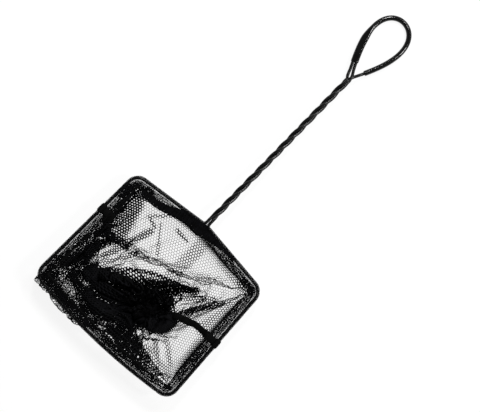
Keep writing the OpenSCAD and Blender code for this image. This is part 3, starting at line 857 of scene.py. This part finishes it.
def start_grids():
    """The hanging bag and its flat cut, as grids (u, v, 3): v goes down the near half and up again."""
    u = np.linspace(0, BAG_W, GRID_U + 1)
    t = np.linspace(0, 1, GRID_V + 1)
    near_u = np.interp(u, NEAR_MOUTH[1], NEAR_MOUTH[0])
    far_u = np.interp(u, FAR_MOUTH[1], FAR_MOUTH[0])
    near = in_wire_plane(sampled(near_u, NEAR_LENGTHS, NEAR_RIM), -SEWN_UNDER)
    far = in_wire_plane(sampled(far_u, FAR_LENGTHS, FAR_RIM), -SEWN_UNDER)
    bottom = np.stack([(u - BAG_W / 2) * BAG_BOTTOM / BAG_W, 0 * u, 0 * u], -1)
    bottom = bottom + np.array(BOTTOM_AT)
    down = t[None, :, None]
    near_half = near[:, None] * (1 - down) + bottom[:, None] * down
    far_half = far[:, None] * (1 - down) + bottom[:, None] * down
    across = (u[:, None] - BAG_W / 2) * half_share(t * BAG_D)
    flat = np.stack([across, np.tile(-BAG_D * t, (len(u), 1)), np.zeros_like(across)], -1)
    behind = flat - np.array([0, 0, 0.5 * MM]) * (1 - down)
    hanging = np.concatenate([near_half, far_half[:, ::-1][:, 1:]], 1)
    return hanging, np.concatenate([flat, behind[:, ::-1][:, 1:]], 1)


# %% [markdown]
# ## The bag's fall
# The bag starts hanging straight down. A table rises under it until the hoop lies low over it, and
# the slack netting folds up between blocks that keep it under the hoop. Then a flat lid comes down
# to the hoop's plane and presses the folds flat, which this coarse cloth wouldn't do by its own
# weight. A slanting pull brings the heap to its side of the hoop. Cloth is steadier when it is not
# tiny, so all of it happens at ten times the size.

# %% The cloth
SIM_SCALE = 10.0
RISEN, STRAIGHT, PRESSED, STILL = 65, 77, 85, 100


def bag_cloth(hanging, flat):
    """The bag as a cloth: side columns are merged, the rim is pinned, and its rest is the cut."""
    cells = np.arange(hanging[..., 0].size).reshape(hanging.shape[:2])
    cells[0, GRID_V + 1:] = cells[0, :GRID_V][::-1]
    cells[-1, GRID_V + 1:] = cells[-1, :GRID_V][::-1]
    used, place = np.unique(cells, return_inverse=True)
    place = place.reshape(cells.shape)
    faces = np.stack([place[:-1, :-1], place[1:, :-1], place[1:, 1:], place[:-1, 1:]], -1)
    points = hanging.reshape(-1, 3)[used] * SIM_SCALE
    bag = bpy.data.objects.new("bag_cloth", make_mesh("bag_cloth", points, [faces.reshape(-1, 4)]))
    bpy.context.scene.collection.objects.link(bag)
    bag.shape_key_add(name="Basis")
    key = bag.shape_key_add(name="cut")
    key.data.foreach_set("co", (flat.reshape(-1, 3)[used] * SIM_SCALE).astype(np.float32).ravel())
    key.value = 0
    pinned = bag.vertex_groups.new(name="rim")
    pinned.add(np.unique(place[:, [0, -1]]).tolist(), 1.0, "REPLACE")
    cloth = bag.modifiers.new("cloth", "CLOTH")
    settings = {
        "quality": 5, "mass": 0.05, "air_damping": 1.5, "tension_stiffness": 20,
        "compression_stiffness": 1, "shear_stiffness": 1, "bending_stiffness": 0.005,
        "tension_damping": 5, "compression_damping": 5, "shear_damping": 2,
        "bending_damping": 0.1, "vertex_group_mass": "rim", "rest_shape_key": key,
    }
    for name, value in settings.items():
        setattr(cloth.settings, name, value)
    contact = {
        "use_collision": True, "collision_quality": 3, "distance_min": 0.006,
        "use_self_collision": True, "self_distance_min": 0.4 * MM * SIM_SCALE, "self_friction": 5,
    }
    for name, value in contact.items():
        setattr(cloth.collision_settings, name, value)
    cloth.point_cache.frame_start, cloth.point_cache.frame_end = 1, STILL
    return bag, place


# %% Table, lid and blocks
BLOCK_LOW, BLOCK_HIGH = -0.2, 0.06


def wall(name, points, faces):
    """Something that the cloth can't pass."""
    made = bpy.data.objects.new(name, make_mesh(name, np.array(points) * SIM_SCALE, [faces]))
    bpy.context.scene.collection.objects.link(made)
    made.modifiers.new("collision", "COLLISION")
    made.collision.thickness_outer = 0.004
    made.collision.thickness_inner = 0.3
    made.collision.cloth_friction = 10
    made.collision.damping = 0.4
    return made


def block(name, x0, x1, y0, y1):
    """A tall block that stands beside the hoop, so that no cloth slides out under it."""
    outline = ((x0, y0), (x1, y0), (x1, y1), (x0, y1))
    corners = [(x, y, z) for z in (BLOCK_LOW, BLOCK_HIGH) for x, y in outline]
    faces = [(0, 3, 2, 1), (4, 5, 6, 7), (0, 1, 5, 4), (1, 2, 6, 5), (2, 3, 7, 6), (3, 0, 4, 7)]
    return wall(name, corners, np.array(faces))


def moved(made, stops):
    """Moves a wall up or down at a steady pace between (frame, height) stops."""
    for at, height in stops:
        made.location.z = height * SIM_SCALE
        made.keyframe_insert("location", frame=at, index=2)
    for key in made.animation_data.action.fcurves[0].keyframe_points:
        key.interpolation = "LINEAR"


# %% Letting the bag fall
TABLE_HALF, TABLE_FROM, TABLE_WAITS = 0.4, BOTTOM_AT[2] - 25 * MM, 10
LID_FROM, LID_OVER = 80 * MM, 1.2 * MM
LID_CORNERS = np.array([(-0.15, -0.23), (0.15, -0.23), (0.15, 0.06), (-0.15, 0.06)])
PULL = (-0.24, -0.45, -1.0)
GRAVITY = 9.81
BLOCKS = (
    ("sim_far_left", -0.2, -0.012, -0.15, -0.073), ("sim_far_right", -0.012, 0.2, -0.15, -0.065),
    ("sim_left", -0.2, -0.079, -0.073, 0.1), ("sim_right", 0.078, 0.2, -0.065, 0.1),
)


def fallen_bag():
    """Lets the bag fall, reads where its grid comes to lie and takes the cloth away again."""
    hanging, flat = start_grids()
    bag, place = bag_cloth(hanging, flat)
    table = wall("sim_table", TABLE_HALF * SQUARE, np.array([[0, 1, 2, 3]]))
    moved(table, [(1, TABLE_FROM), (TABLE_WAITS, TABLE_FROM), (RISEN, 0.0)])
    lid = wall("sim_lid", in_wire_plane(LID_CORNERS, LID_OVER), np.array([[3, 2, 1, 0]]))
    moved(lid, [(1, LID_FROM), (RISEN, LID_FROM), (PRESSED, 0.0)])
    walls = [table, lid] + [block(*sides) for sides in BLOCKS]
    scene = bpy.context.scene
    scene.frame_start, scene.frame_end = 1, STILL
    pull = unit(np.array(PULL)) * GRAVITY
    for at in range(1, STILL + 1):
        scene.gravity = pull if at < STRAIGHT else (0, 0, -GRAVITY)
        scene.frame_set(at)
    settled = bag.evaluated_get(bpy.context.evaluated_depsgraph_get()).data
    points = np.zeros(len(settled.vertices) * 3, np.float32)
    settled.vertices.foreach_get("co", points)
    grid = (points.reshape(-1, 3) / SIM_SCALE).astype(float)[place]
    for made in [bag] + walls:
        bpy.data.objects.remove(made)
    scene.frame_set(1)
    return grid


FALLEN = fallen_bag()
print("fallen from", FALLEN.min((0, 1)).round(4), "to", FALLEN.max((0, 1)).round(4))

# %% [markdown]
# ## The heap
# A simulation finds a likely heap, but never the very one in the photograph. Other pulls and walls
# could be tried without end. Instead the middle of the cloth is drawn together and moved a little,
# which keeps all its folds.

# %% The heap drawn together
HEAP_FROM = np.array([10, -32]) * MM
HEAP_SHIFT = np.array([2, 10]) * MM
HEAP_REACH = 42 * MM
HEAP_SQUEEZE = 0.6
RIM_FADE = 0.2


def drawn_together(grid):
    """Draws the heap together and to its place in the photograph; the rim doesn't move.

    The weight is (1 - d^2)^2, where d is the distance from the heap's middle in reaches, and it
    grows from nothing at the rim to its full size RIM_FADE of the way down.
    """
    off = grid[..., :2] - HEAP_FROM
    weight = np.clip(1 - (off ** 2).sum(-1, keepdims=True) / HEAP_REACH ** 2, 0, None) ** 2
    rows = np.arange(grid.shape[1])
    weight *= smooth(np.minimum(rows, rows[::-1]) / GRID_V / RIM_FADE)[None, :, None]
    made = grid.copy()
    made[..., :2] += weight * (HEAP_SHIFT - HEAP_SQUEEZE * off)
    return made


BAG = drawn_together(FALLEN)
print("bag from", BAG.min((0, 1)).round(4), "to", BAG.max((0, 1)).round(4))

# %% [markdown]
# ## Knitted netting
# The netting is a honeycomb of thread. A strand is a low ridge with three sides, and three strands
# meet at each node in one closed form. The honeycomb is laid out on the flat cut, and every node
# then moves to its place on the folded bag, so the holes stretch and close with the cloth. A
# picture of a mesh on plain cloth would be lighter, but it has no depth, and its holes can't open.
# The real mesh is finer than this one and lies in many layers in the heap, so the strands are drawn
# thicker where the netting is bunched, to cover as much. Where that is follows lines drawn over the
# photograph.

# %% The honeycomb


def honeycomb(width, length, pitch, inside):
    """Nodes and strands of a flat honeycomb: nodes' (u, v), and (a, b, direction) of each strand.

    Nodes a lie on a triangular grid, nodes b above them by pitch / sqrt 3. A strand joins each a
    to the b in three directions, at 90, -30 and 210 degrees.
    """
    rise = pitch * math.sqrt(3) / 2
    rows = int(length / rise) + 3
    columns = int(width / pitch) + rows // 2 + 3
    i, j = np.meshgrid(np.arange(columns), np.arange(rows), indexing="ij")
    a = np.stack([(i - rows // 2) * pitch + j * pitch / 2, j * rise - rise / 3], -1)
    b = a + np.array([0, pitch / math.sqrt(3)])
    flat = np.concatenate([a.reshape(-1, 2), b.reshape(-1, 2)])
    here = np.arange(i.size).reshape(i.shape)
    pad = np.pad(here + i.size, 1, constant_values=-1)
    reach = [pad[1:-1, 1:-1], pad[2:, :-2], pad[1:-1, :-2]]
    first = np.concatenate([here.ravel()] * 3)
    second = np.concatenate([r.ravel() for r in reach])
    way = np.repeat(np.arange(3), i.size)
    kept = inside(flat)
    good = (second >= 0) & kept[first] & kept[np.maximum(second, 0)]
    first, second, way = first[good], second[good], way[good]
    used, number = np.unique(np.concatenate([first, second]), return_inverse=True)
    upper = used >= i.size
    return flat[used], upper, number[:len(first)], number[len(first):], way


# %% Lines drawn over the photograph
PICTURE_PIXELS = 480
PIXEL = PICTURE_W / PICTURE_PIXELS
MARK_PIXEL = np.array([207.7, 223.6])
MARK_PLACE = np.array([0, 68.38]) * MM
LEAST_REACH = 2 * MM
# From x, y to x, y, how far it reaches and how much it adds.
BUNCHES = np.array([
    # The heap: its middle, its right tip, its lower right, its left arm.
    (112, 294, 150, 303, 30, 6.5),
    (150, 287, 176, 290, 9, 6.5),
    (168, 288, 195, 292, 5, 6.0),
    (148, 297, 168, 301, 10, 6.0),
    (158, 314, 162, 321, 18, 6.5),
    (90, 274, 122, 276, 10, 4.5),
    # The left corner and the left side.
    (62, 274, 84, 284, 15, 0.4),
    (84, 246, 92, 262, 13, 0.6),
    (108, 212, 111, 234, 6, 3.0),
    (64, 264, 106, 241, 6, 2.2),
    # Along the far side.
    (62, 292, 92, 322, 9, 0.5),
    (62, 300, 150, 381, 6, 1.0),
    (112, 340, 142, 356, 15, 2.3),
    (138, 358, 162, 374, 12, 1.3),
    # The top corner.
    (122, 190, 146, 194, 9, 5.0),
    (131, 204, 114, 234, 15, 3.6),
    # Folds in the open part.
    (203, 244, 170, 278, 9, 1.3),
    (225, 261, 243, 284, 10, 1.6),
    (242, 282, 249, 291, 7, 3.5),
    (206, 330, 246, 304, 13, 1.4),
    (201, 348, 184, 374, 12, 1.6),
    (155, 342, 158, 366, 4, 2.0),
    (166, 342, 170, 366, 3, 1.5),
    (160, 224, 157, 256, 2, 1.5),
    (149, 217, 154, 227, 2, 2.5),
    (150, 217, 180, 216, 2, 1.8),
    (177, 231, 186, 241, 2, 2.5),
    (124, 230, 126, 249, 2, 2.2),
    (126, 270, 150, 273, 2.6, 5.0),
    (150, 273, 196, 292, 2.6, 5.0),
    (103, 256, 150, 232, 4.5, 2.6),
    (96, 266, 136, 254, 4.0, 2.0),
    (182, 312, 244, 302, 3.0, 1.4),
    (176, 297, 214, 301, 4.5, 2.2),
])


def on_table(x, y):
    """A place in the photograph, in pixels, as one on the table, to the nearest millimetre.

    MARK_PIXEL shows MARK_PLACE, at the handle's foot. The way from there is turned as the camera
    is: (x, y) goes to (x cos - y sin, x sin + y cos).
    """
    off = np.stack([x, y], -1) - MARK_PIXEL
    right, up = PIXEL * off[:, 0], -PIXEL * off[:, 1]
    cos, sin = math.cos(PICTURE_TURN), math.sin(PICTURE_TURN)
    place = np.stack([right * cos - up * sin, right * sin + up * cos], -1) + MARK_PLACE
    return np.round(place / MM) * MM


BUNCH_FROM = on_table(BUNCHES[:, 0], BUNCHES[:, 1])
BUNCH_RUN = on_table(BUNCHES[:, 2], BUNCHES[:, 3]) - BUNCH_FROM
BUNCH_REACH = np.round(np.maximum(LEAST_REACH, BUNCHES[:, 4] * PIXEL) / MM) * MM
print("bunches:", len(BUNCHES), "reaching", BUNCH_REACH.min(), "to", BUNCH_REACH.max(), "m")

# %% Where the netting is bunched


def bunched(places):
    """How many times as thick the strands are at each place: 1 in the open, more in a bunch.

    Each row of BUNCHES is a line from (x, y) to (x, y) and how far it reaches, in pixels, and how
    much it adds. Its share falls from 1 to 0 over the outer half of its reach, and where lines
    overlap the largest counts.
    """
    off = places[:, None, :2] - BUNCH_FROM
    along = np.clip((off * BUNCH_RUN).sum(-1) / (BUNCH_RUN ** 2).sum(-1), 0, 1)
    gap = np.linalg.norm(off - along[..., None] * BUNCH_RUN, axis=-1) / BUNCH_REACH
    return 1 + (BUNCHES[:, 5] * smooth(2 - 2 * gap)).max(1)


# %% Strands on a surface
TOP_SHARE, VALLEY_SHARE = 0.6, 0.4


def netting(place, inside, width, length, half, tall, pitch=MESH_PITCH, ends=True, swell=None):
    """Netting on a surface that place(u, v) gives, with the flat cut as its texture map.

    The strands are 2 half wide and tall high, and swell(places) says how many times as wide. Each
    node has a top and three valley points, half / sin 60 away from it and opposite to its strands.
    A strand is two sloping quads and one below. Where a strand is missing, a triangle closes the
    node, unless the netting runs on into a seam there.
    """
    flat, upper, first, second, way = honeycomb(width, length, pitch, inside)
    step = 0.4 * MM
    centre = place(flat[:, 0], flat[:, 1])
    if swell:
        half = half * swell(centre)[:, None]
    along_u = unit(place(flat[:, 0] + step, flat[:, 1]) - place(flat[:, 0] - step, flat[:, 1]))
    along_v = unit(place(flat[:, 0], flat[:, 1] + step) - place(flat[:, 0], flat[:, 1] - step))
    normal = unit(np.cross(along_u, along_v))
    along_v = np.cross(normal, along_u)
    angle = np.radians([90, -30, 210])
    side = np.where(upper, 1.0, -1.0)[:, None] * half / math.sin(math.pi / 3)
    top = centre + TOP_SHARE * tall * normal
    valleys = [
        centre - VALLEY_SHARE * tall * normal + side * (math.cos(g) * along_u + math.sin(g) * along_v)
        for g in angle
    ]
    points = np.stack([top] + valleys, 1).reshape(-1, 3)
    one, two = 1 + (way + 1) % 3, 1 + (way + 2) % 3
    a, b = first * 4, second * 4
    quads = np.concatenate([
        np.stack([a, a + two, b + one, b], -1),
        np.stack([a, b, b + two, a + one], -1),
        np.stack([a + one, b + two, b + one, a + two], -1),
    ])
    node = np.arange(len(flat)) * 4
    under = np.stack([node + 1, node + 2, node + 3], -1)
    found = np.zeros((len(flat), 3), bool)
    found[first, way] = True
    found[second, way] = True
    bare, k = np.nonzero(~found)
    caps = np.stack([bare * 4, bare * 4 + 1 + (k + 2) % 3, bare * 4 + 1 + (k + 1) % 3], -1)
    closing = np.concatenate([under, caps]) if ends else under
    return points, [quads, closing], np.repeat(flat / width, 4, axis=0)


# %% A smooth surface through a grid


def curved(grid, a, b):
    """The grid's surface at fractional places a, b: cubic curves through its points, both ways."""
    def weights(x, count):
        cell = np.clip(np.floor(x).astype(int), 0, count - 2)
        f = x - cell
        w = np.stack([
            ((2 - f) * f - 1) * f / 2, ((3 * f - 5) * f * f + 2) / 2,
            ((4 - 3 * f) * f + 1) * f / 2, (f - 1) * f * f / 2,
        ], -1)
        near = np.clip(cell[:, None] + np.arange(-1, 3), 0, count - 1)
        return near, w

    rows, wa = weights(a, grid.shape[0])
    columns, wb = weights(b, grid.shape[1])
    patch = grid[rows[:, :, None], columns[:, None, :]]
    return np.einsum("ni,nj,nijk->nk", wa, wb, patch)


# %% The two halves of the bag
STRAND_HALF, STRAND_TALL = 0.165 * MM, 0.60 * MM


def half_bag(far):
    """One half's netting on the fallen grid. Its columns of mesh are even along the rim.

    The mesh's u runs along the rim, so slack netting has wider holes. No strand dips into the table.
    """
    on_rim, on_cut = FAR_MOUTH if far else NEAR_MOUTH
    width = on_rim[-1]

    def place(u, v):
        a = np.interp(u, on_rim, on_cut) / BAG_W * GRID_U
        b = v / BAG_D * GRID_V
        return curved(BAG, a, 2 * GRID_V - b if far else b)

    def inside(flat):
        return (flat >= 0).all(1) & (flat[:, 0] <= width) & (flat[:, 1] <= BAG_D)

    points, faces, uv = netting(
        place, inside, width, BAG_D, STRAND_HALF, STRAND_TALL, BAG_PITCH, ends=False, swell=bunched
    )
    points[:, 2] = np.maximum(points[:, 2], LAY)
    return points, faces, uv


for name, node, far in (("near_bag", "front_panel", False), ("far_bag", "back_panel", True)):
    points, faces, uv = half_bag(far)
    make_piece(name, points, faces, NETTING, "netting", [node], uv)

# %% [markdown]
# ## The hem
# The netting's edge is carried over the wire, back under it, and turned in once more before it is
# sewn, so the band beside the wire is three layers of gathered netting. A solid strip could stand
# for it, but light comes through the real one. So it is laid out like the bag: a long strip of
# honeycomb, whose v runs through the fold.

# %% The hem's fold
WRAP_R = 1.75
TURNED_IN = [[2.4, 0.05], [7.6, 0.05], [8.3, -0.15], [8.2, -0.5], [2.6, -0.95]]
ON_TOP = [[2.6, 0.95], [8.2, 0.55]]


def fold_line():
    """The hem's section in millimetres, inward and up from the wire, turned to metres at the end.

    It runs through the turned-in layer, out under the wire, round it and back in on top.
    """
    angle = np.radians(np.linspace(-60, -300, 40))
    wrap = WRAP_R * np.stack([np.cos(angle), np.sin(angle)], -1)
    line = np.concatenate([TURNED_IN, wrap, ON_TOP]) * MM
    return line, length_along(line)


FOLD, FOLD_LENGTHS = fold_line()
print("netting through the fold:", FOLD_LENGTHS[-1].round(4), "m")

# %% Places beside the hoop
WAVES = (0.0053, 0.0117, 0.031)


def hem_path(corners, neck_r):
    """A part of the hoop as a path with its inward normals and its lengths."""
    radii = [0, CORNER_R, neck_r, CORNER_R, 0]
    points, normals = rounded_path(corners, radii)
    return points, normals, length_along(points)


NEAR_PATH = hem_path([RIGHT_SEAM, NEAR_RIGHT, NECK, NEAR_LEFT, LEFT_SEAM], NECK_R)
FAR_PATH = hem_path([LEFT_SEAM, FAR_LEFT, FAR_MIDDLE, FAR_RIGHT, RIGHT_SEAM], BOW_R)


def beside_hoop(path, s, inward, up):
    """A place beside the hoop: s along it, inward from the wire's middle, and up off its plane."""
    points, normals, lengths = path
    at = sampled(s, lengths, points)
    across = unit(sampled(s, lengths, normals))
    return in_wire_plane(at + inward[..., None] * across, up)


def ripple(s, seed):
    """A slow uneven wave from -1 to 1 along a seam, as the mean of three sines of WAVES metres."""
    a, b, c = [2 * math.pi / wave for wave in WAVES]
    return (np.sin(a * s + seed) + np.sin(b * s + 2.1 * seed) + np.sin(c * s + 3.7 * seed)) / 3


# %% The two parts of the hem
HEM_GATHER = 1.25
HEM_TALL = 0.40 * MM
NEAR_HALF, FAR_HALF = 0.24 * MM, 0.27 * MM
HEM_SWELL = 0.2
LAYER_PHASE = 250
FOLD_WANDER, EDGE_WANDER, LIFT_WANDER, ALONG_WANDER = 0.7 * MM, 0.45 * MM, 0.35 * MM, 0.6 * MM


def hem(path, seed, half):
    """The hem's netting round one part of the hoop.

    Ripples move it through the fold, and inward, up and along the wire, these three more towards its
    inner edge. Each layer has ripples of its own. Strands take only HEM_SWELL of what a bunch adds.
    """
    length = path[2][-1]
    width = length * HEM_GATHER

    def place(u, v):
        s = np.clip(u / HEM_GATHER, 0, length)
        layer = seed + LAYER_PHASE * v
        v = v + FOLD_WANDER * ripple(s * 1.7, layer)
        section = sampled(np.clip(v, 0, FOLD_LENGTHS[-1]), FOLD_LENGTHS, FOLD)
        share = np.clip(section[:, 0] / HEM_W, 0, 1)
        inward = section[:, 0] + EDGE_WANDER * share * ripple(s, seed)
        up = section[:, 1] + LIFT_WANDER * share * ripple(s * 1.7, seed + 1)
        along = s + ALONG_WANDER * share * ripple(s * 2.3, layer + 2)
        return beside_hoop(path, along, inward, up)

    def inside(flat):
        fits = (flat[:, 0] >= 0) & (flat[:, 0] <= width)
        return fits & (flat[:, 1] >= 0) & (flat[:, 1] <= FOLD_LENGTHS[-1])

    def swell(places):
        return 1 + HEM_SWELL * (bunched(places) - 1)

    return netting(place, inside, width, FOLD_LENGTHS[-1], half, HEM_TALL, swell=swell)


for name, node, path, seed, half in (
    ("near_hem", "front_hem", NEAR_PATH, 0.4, NEAR_HALF),
    ("far_hem", "back_hem", FAR_PATH, 2.2, FAR_HALF),
):
    points, faces, uv = hem(path, seed, half)
    make_piece(name, points, faces, HEM_NETTING, "hem_netting", [node], uv)

# %% [markdown]
# ## Threads
# A thread is a thin tube along a line of points. The hem is sewn with two rows of zigzag on top and
# two below, which read as one dark line. A bevelled curve could be such a thread, but as tubes of
# points all rows go into one mesh.

# %% Threads and the hem's stitching
WIDE_ROW = (7.4 * MM, 1.0 * MM, 1.6 * MM, 0.23 * MM)
TIGHT_ROW = (8.0 * MM, 0.25 * MM, 2.1 * MM, 0.26 * MM)
ROWS_UP = (0.85 * MM, -0.75 * MM)
STITCH_LIFT = 0.12 * MM


def thread(line, radius, sides=6):
    """A round thread along a line of points, which is turned as little as possible on its way."""
    way = unit(np.gradient(line, axis=0))
    level = unit(np.cross(way, np.tile([0.0, 0, 1], (len(line), 1))) + 1e-9)
    over = np.cross(level, way)
    return tube_grid(swept(line, level, over, circle(radius, sides)))


def zigzag(path, row, up):
    """A row of stitches along the hoop: inward + swing sin(2 pi s / pitch), up off its plane."""
    inward, swing, pitch, radius = row
    s = np.arange(0.0, path[2][-1], pitch / 8)
    wave = np.sin(2 * math.pi * s / pitch)
    lift = up + STITCH_LIFT * np.cos(4 * math.pi * s / pitch) * np.sign(up)
    middle = inward + EDGE_WANDER * ripple(s, 0.4)
    return thread(beside_hoop(path, s, middle + swing * wave, lift), radius)


stitches = []
for path in (NEAR_PATH, FAR_PATH):
    for up in ROWS_UP:
        stitches += [zigzag(path, WIDE_ROW, up), zigzag(path, TIGHT_ROW, up)]
make_piece("hem_thread", *joined(stitches), THREAD, "sewing_thread", ["hem_stitching"])

# %% [markdown]
# ## Side seams
# The bag's two halves are overlocked together at the sides. Each seam is a thick band that goes
# round the wire, over the hem and down the bag, with thread wound over it. The thread alone could
# be the seam, but it would need thousands of turns to close up, so a band lies under it.

# %% The seam's line
SEAM_STEP = 0.6 * MM
SMOOTHED_OVER = 9
OVER_HEM_AT, OVER_HEM_UP = [1.9 * MM, 3.5 * MM, 8.2 * MM], [1.6 * MM, 1.2 * MM, 0.7 * MM]
OVER_HEM_POINTS = 6


def seam_line(path, s, column):
    """A seam's middle line: over the hem from the wire, and then down the bag's side column.

    Its points are SEAM_STEP apart, and each is a weighted mean of the SMOOTHED_OVER round it.
    """
    inward = np.linspace(OVER_HEM_AT[0], OVER_HEM_AT[-1], OVER_HEM_POINTS)
    lift = np.interp(inward, OVER_HEM_AT, OVER_HEM_UP)
    hem_part = beside_hoop(path, np.full(OVER_HEM_POINTS, s), inward, lift)
    knots = np.concatenate([hem_part, column])
    along = length_along(knots)
    raw = sampled(np.arange(0, along[-1], SEAM_STEP), along, knots)
    kernel = np.hanning(SMOOTHED_OVER) / np.hanning(SMOOTHED_OVER).sum()
    spare = SMOOTHED_OVER // 2
    padded = np.concatenate([np.repeat(raw[:1], spare, 0), raw, np.repeat(raw[-1:], spare, 0)])
    return np.stack([np.convolve(padded[:, k], kernel, "valid") for k in range(3)], -1)


def carried_frames(line, first):
    """Directions across a line that start as the one given and turn no more than they must.

    Each direction is the one before it, less its part along the line, at unit length.
    """
    way = unit(np.gradient(line, axis=0))
    across = list(accumulate(way[1:], lambda one, w: unit(one - w * (one @ w)), initial=first))
    return np.array(across), np.cross(across, way)


# %% The band and the cuff
BAND_AT = [0, 9 * MM, 26 * MM, 200 * MM]
BAND_HALF = [3.8 * MM, 3.7 * MM, 2.9 * MM, 2.3 * MM]
BAND_THICK_AT = [0, 9 * MM, 30 * MM]
BAND_THICK = [1.0 * MM, 0.9 * MM, 0.7 * MM]
CUFF_HALF, CUFF_R, CUFF_SWELL, CUFF_RIB = 4.2 * MM, 1.95 * MM, 0.9 * MM, 1.4 * MM
CUFF_RINGS, RIB_SHARE = 40, 0.05
BAND_SIDES = 24
BAND_UNEVEN, BAND_BLUNT, BAND_TAPER = 0.10, 0.3 * MM, 1.2 * MM


def seam_band(path, s, column, length):
    """The band's line, its half width and thickness, and the directions across and over it."""
    line = seam_line(path, s, column)[:int(length / SEAM_STEP)]
    ends = beside_hoop(path, np.array([s - 1e-4, s + 1e-4]), np.zeros(2), np.zeros(2))
    across, over = carried_frames(line, unit(ends[1] - ends[0]))
    run = np.arange(len(line)) * SEAM_STEP
    half = np.interp(run, BAND_AT, BAND_HALF) * (1 + BAND_UNEVEN * ripple(run, 1.3))
    half = half * np.minimum(1, (run + BAND_BLUNT) / BAND_TAPER)
    return line, half, np.interp(run, BAND_THICK_AT, BAND_THICK), across, over


def cuff(path, s):
    """The seam's end round the wire: a tube that swells by the root of 1 - x^4, with fine ribs."""
    points, normals, lengths = path
    end = 0 if s < lengths[-1] / 2 else -1
    run = np.linspace(-CUFF_HALF, CUFF_HALF, CUFF_RINGS)
    radius = CUFF_R + CUFF_SWELL * np.sqrt(np.clip(1 - (run / CUFF_HALF) ** 4, 0, 1))
    radius = radius * (1 + RIB_SHARE * np.sin(run * 2 * math.pi / CUFF_RIB))
    wire = points[end] + run[:, None] * unit(np.gradient(points, axis=0))[end]
    inward = np.tile(normals[end], (CUFF_RINGS, 1))
    return tube_grid(along_hoop(wire, inward, circle(1.0, BAND_SIDES) * radius[:, None, None]))


# %% The side seams
COIL_STEP = 0.12
COIL_STAND = 0.10 * MM
COIL_PITCH, COIL_R = 1.5 * MM, 0.2 * MM


def coil(line, half, thick, across, over):
    """A thread wound round a band: side times sin plus up times cos of the turn."""
    index = np.arange(len(line))
    fine = np.arange(0, len(line) - 1.001, COIL_STEP)
    side = unit(sampled(fine, index, across))
    up = unit(sampled(fine, index, over))
    wide = np.interp(fine, index, half) + COIL_STAND
    high = np.interp(fine, index, thick) + COIL_STAND
    turn = fine * SEAM_STEP * 2 * math.pi / COIL_PITCH
    wound = (wide * np.sin(turn))[:, None] * side + (high * np.cos(turn))[:, None] * up
    return thread(sampled(fine, index, line) + wound, COIL_R)


SEAMS = (
    ("left", NEAR_PATH[2][-1], BAG[0, :GRID_V + 1], 60 * MM),
    ("right", 0.0, BAG[-1, :GRID_V + 1], 85 * MM),
)
for side, s, column, length in SEAMS:
    line, half, thick, across, over = seam_band(NEAR_PATH, s, column, length)
    rings = circle(1.0, BAND_SIDES) * np.stack([half, thick], -1)[:, None]
    band = tube_grid(swept(line, across, over, rings))
    pieces = joined([band, cuff(NEAR_PATH, s)])
    make_piece(f"{side}_overlock", *pieces, SEAM, "seam_tape", [f"{side}_seam"])
    wound = coil(line, half, thick, across, over)
    make_piece(f"{side}_thread", *wound, THREAD, "sewing_thread", [f"{side}_seam_stitching"])

# %% [markdown]
# ## The gather at the neck
# Where the hoop meets the handle, the slack of the near half is bunched into a thick dark
# crescent. The cloth's grid is too coarse to gather so tightly, so the bunch is a strip of netting
# of its own, in deep pleats.

# %% The neck's gather
PLEAT = 2.6 * MM
PLEAT_GATHER = 4.6
GATHER_DEEP = 12 * MM
GATHER_HALF, GATHER_TALL = 0.34 * MM, 0.45 * MM
TO_RIGHT, TO_LEFT = 38 * MM, 60 * MM
START_AT_NECK, START_MOVES = -1.2 * MM, 8.2 * MM
LEAST_WIDE, WIDER_AT_NECK, LESS_AT_RIGHT = 5.5 * MM, 8.0 * MM, 2 * MM
PLEAT_LIFT, PLEAT_SWAY, STANDS_UP = 0.5 * MM, 0.3 * MM, 1.2 * MM


def neck_gather():
    """The strip follows the wire from TO_RIGHT of the neck to TO_LEFT of it, pleated by a sine."""
    neck = np.interp(0.0, -NEAR_PATH[0][:, 0], NEAR_PATH[2])
    width = (TO_RIGHT + TO_LEFT) * PLEAT_GATHER

    def band(s):
        """Where the bunch starts beside the wire, and how wide it is."""
        right = np.clip((neck - s) / TO_RIGHT, 0, 1)
        left = np.clip((s - neck) / TO_LEFT, 0, 1)
        start = START_AT_NECK + START_MOVES * smooth((left - 0.2) / 0.6)
        near_neck = (1 - right) ** 2 * (1 - left) ** 1.3
        return start, LEAST_WIDE + WIDER_AT_NECK * near_neck - LESS_AT_RIGHT * right

    def place(u, v):
        s = neck - TO_RIGHT + u / PLEAT_GATHER
        share = v / GATHER_DEEP
        turn = 2 * math.pi * (s + 0.5 * MM * ripple(s, 0.9)) / PLEAT
        start, wide = band(s)
        inward = start + share * wide
        lift = PLEAT_LIFT * np.sin(turn) * (0.35 + 0.65 * share) + STANDS_UP
        sway = PLEAT_SWAY * np.sin(turn * 0.5 + 1.0) * share
        return beside_hoop(NEAR_PATH, s + sway, inward, lift)

    def inside(flat):
        fits = (flat[:, 0] >= 0) & (flat[:, 0] <= width)
        return fits & (flat[:, 1] >= 0) & (flat[:, 1] <= GATHER_DEEP)

    return netting(place, inside, width, GATHER_DEEP, GATHER_HALF, GATHER_TALL)


points, faces, uv = neck_gather()
make_piece("neck_bunch", points, faces, HEM_NETTING, "hem_netting", ["neck_gather"], uv)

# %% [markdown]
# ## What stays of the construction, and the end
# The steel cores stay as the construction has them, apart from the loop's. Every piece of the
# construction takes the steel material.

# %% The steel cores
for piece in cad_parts.values():
    piece.data.materials.clear()
    piece.data.materials.append(STEEL)
